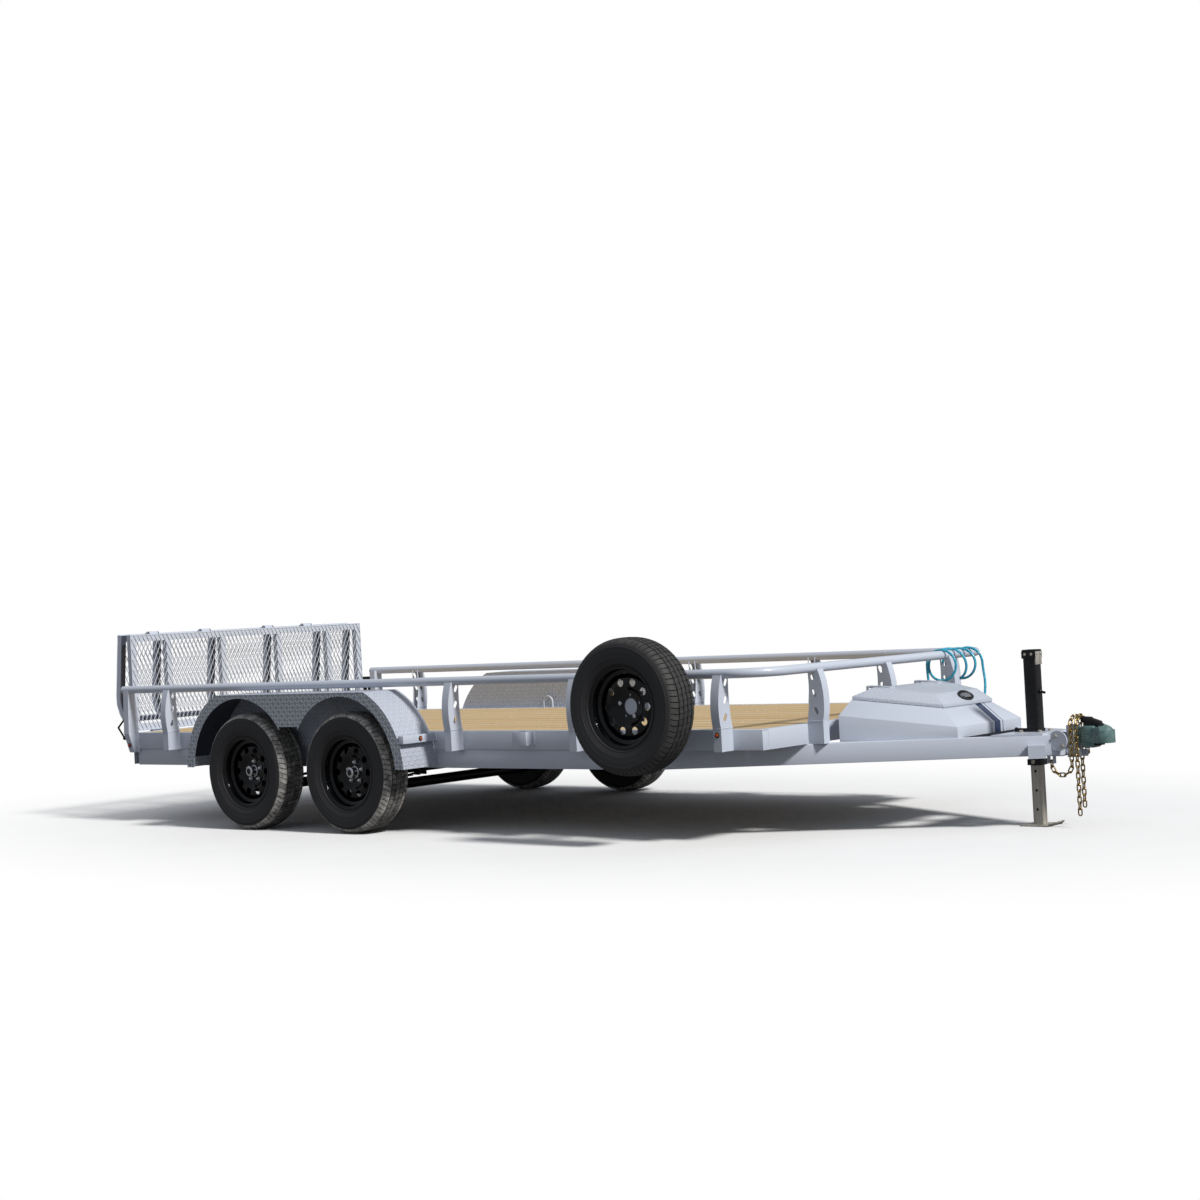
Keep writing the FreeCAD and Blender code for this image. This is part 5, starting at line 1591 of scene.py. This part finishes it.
    def jack_head(self) -> None:
        """Adds the jack's gearbox cover, its handle stub, its plate and its pin."""
        work = Work(self.shop)
        at = self.datum.at
        work.box(at(4.044, -0.038, 0.829), at(4.120, 0.038, 0.866), 0.003)
        work.rod(at(4.110, 0.0, 0.664), at(4.126, 0.0, 0.664), 0.0100, 20, 0.0010)
        work.rod(at(4.124, 0.0, 0.663), at(4.146, 0.0, 0.657), 0.0062, 16, 0.0010)
        work.box(at(4.047, -0.0365, 0.455), at(4.117, 0.0365, 0.482), 0.002)
        with work.painted(1):
            for y in (-0.018, 0.018):
                work.nut(at(4.1210, y, 0.852), AHEAD, 0.0052, 0.004)
                work.nut(at(4.082 + y, -0.0375, 0.850), -LEFT, 0.0062, 0.005)
            work.box(at(4.1125, -0.030, 0.798), at(4.1212, 0.030, 0.863), 0.0010)
            work.rod(at(4.082, -0.052, 0.318), at(4.082, 0.052, 0.318), 0.0062, 18, 0.0010)
            work.rod(at(4.082, -0.046, 0.318), at(4.082, -0.043, 0.318), 0.0105, 18, 0.0006)
        work.piece("jack_head", "frame", [Finish.BLACK, Finish.ZINC])

    def coupler_head(self) -> None:
        """Adds the coupler's ribbed housing, its foot and its latch."""
        at = self.datum.at
        work = Work(self.shop)
        work.box(at(4.346, -0.039, 0.388), at(4.414, 0.039, 0.493), 0.0050)
        for n in range(6):
            z = 0.408 + 0.0125 * n
            work.box(at(4.353, -0.0402, z), at(4.402, 0.0402, z + 0.0028), 0.0008)
        with work.painted(1):
            work.box(at(4.412, -0.030, 0.398), at(4.440, 0.030, 0.414), 0.0030)
        work.piece("coupler_housing", "frame", [Finish.CAST, Finish.SATIN])
        work = Work(self.shop)
        for low, high, tilt in (((4.337, -0.016, 0.508), (4.392, 0.016, 0.537), 3.0),
                                ((4.380, -0.016, 0.500), (4.440, 0.016, 0.524), 18.0),
                                ((4.424, -0.014, 0.484), (4.470, 0.014, 0.502), 34.0),
                                ((4.346, -0.012, 0.488), (4.432, 0.012, 0.514), 0.0)):
            work.box(at(*low), at(*high), 0.0060, Matrix.Rotation(math.radians(tilt), 4, "Y"))
        for side in (-1, 1):
            work.rod(at(4.452, 0.014 * side, 0.488), at(4.452, 0.024 * side, 0.488), 0.0090, 20,
                     0.0012)
        work.piece("coupler_handle", "frame", [Finish.SATIN], stands_for=["coupler_latch"])


def build_wheels(shop: PaintShop) -> None:
    """Makes the four road wheels and the spare.

    Args:
        shop: Where the finishes come from.
    """
    tyre, wheel = Tyre(shop), Wheel(shop)
    for place in ("front", "rear"):
        for side, facing in (("right", 1.0), ("left", -1.0)):
            spot = f"{place}_{side}"
            tyre.build(f"tread_{spot}", f"wheel_{spot}", f"tyre_{spot}", Finish.TYRE)
            wheel.build(f"road_{spot}", f"wheel_{spot}", f"wheel_{spot}", f"tyre_{spot}",
                        facing, True)
    new = Tyre(shop, zigzag=0.003, wander=0.0020)
    new.build("tread_spare", "frame", "spare_tyre", Finish.SPARE)
    wheel.build("spare", "frame", "spare_rim", "spare_tyre", 1.0, False)


def dress_frame(frame: Frame) -> None:
    """Finishes the CAD nodes.

    Args:
        frame: The frame.
    """
    for finish, nodes in (
            (Finish.PAINT, ("crossmembers", "toolbox_hinges", "side_posts", "front_posts",
                            "top_rail_front", "top_rail_sides", "gate_hinge_ears",
                            "gate_lower_frame", "tie_down_rings", "tongue_fittings",
                            "jack_plate", "coupler_channel", "gate_lower_mesh",
                            "gate_upper_mesh")),
            (Finish.BLACK, ("axles", "leaf_springs", "spring_hangers", "equalizers",
                            "gate_latches", "breakaway_switch")),
            (Finish.PINE, ("deck_planks",)), (Finish.GOLD, ("safety_chains",)),
            (Finish.ZINC, ("jack_leg",)), (Finish.RED, ("red_markers",))):
        for node in nodes:
            frame.dress(node, finish)
    # Painted shade: the fenders' downward faces take the darkened enamel.
    frame.dress("fenders", Finish.FENDER, Finish.SHADED,
                pick=lambda face: 1 if face.normal.z < -0.2 else 0)
    middle = frame.datum.y
    # Painted shade: the inner walls of the wheel wells, facing the wheels, take the darkened
    # enamel.
    frame.dress("fender_skirts", Finish.TREADPLATE, Finish.SHADED,
                pick=lambda face: 1 if abs(face.center.y - middle) < 1.2
                and face.normal.y * (face.center.y - middle) > 0.9 else 0)
    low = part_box("spare_carrier")[0].y
    frame.dress("spare_carrier", Finish.PAINT, Finish.CHROME,
                pick=lambda face: 1 if face.center.y < low + 0.024 else 0)
    # Painted shade: the folded flap frame's forward-facing faces take the darkened enamel.
    frame.dress("gate_upper_frame", Finish.PAINT, Finish.SHADED,
                pick=lambda face: 1 if face.normal.x > 0.5 else 0)
    for node, finish, width in (("main_beams", Finish.PAINT, 0.004),
                                ("deck_side_rails", Finish.PAINT, 0.004),
                                ("deck_end_rails", Finish.PAINT, 0.004),
                                ("fender_lamp_bars", Finish.PAINT, 0.0010),
                                ("stake_pocket", Finish.PAINT, 0.0012),
                                ("toolbox_body", Finish.TOOLBOX, 0.0016),
                                ("jack_tube", Finish.BLACK, 0.0022),
                                ("coupler", Finish.CAST, 0.0030)):
        frame.soften(node, finish, width)
    frame.soften("toolbox_lid", Finish.LID, 0.0014, "toolbox_lid")


def main() -> None:
    """Builds the looks in order."""
    logging.basicConfig(level=logging.INFO, format="%(message)s")
    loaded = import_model()
    deck = Deck()
    datum = Datum.found(deck.rear)
    shop = PaintShop(datum, deck)
    studio = Studio(datum)
    studio.camera()
    Lead(datum, shop).build()
    studio.floor()
    studio.light()
    frame = Frame(datum, shop, loaded["nodes"])
    dress_frame(frame)
    deck.build(datum, shop)
    for build in (frame.lamps, frame.welds, frame.caps, frame.bolts, frame.lid_latch,
                  frame.jack_head, frame.coupler_head):
        build()
    RampGate(datum, shop).build()
    build_wheels(shop)


if __name__ == "__main__":
    main()
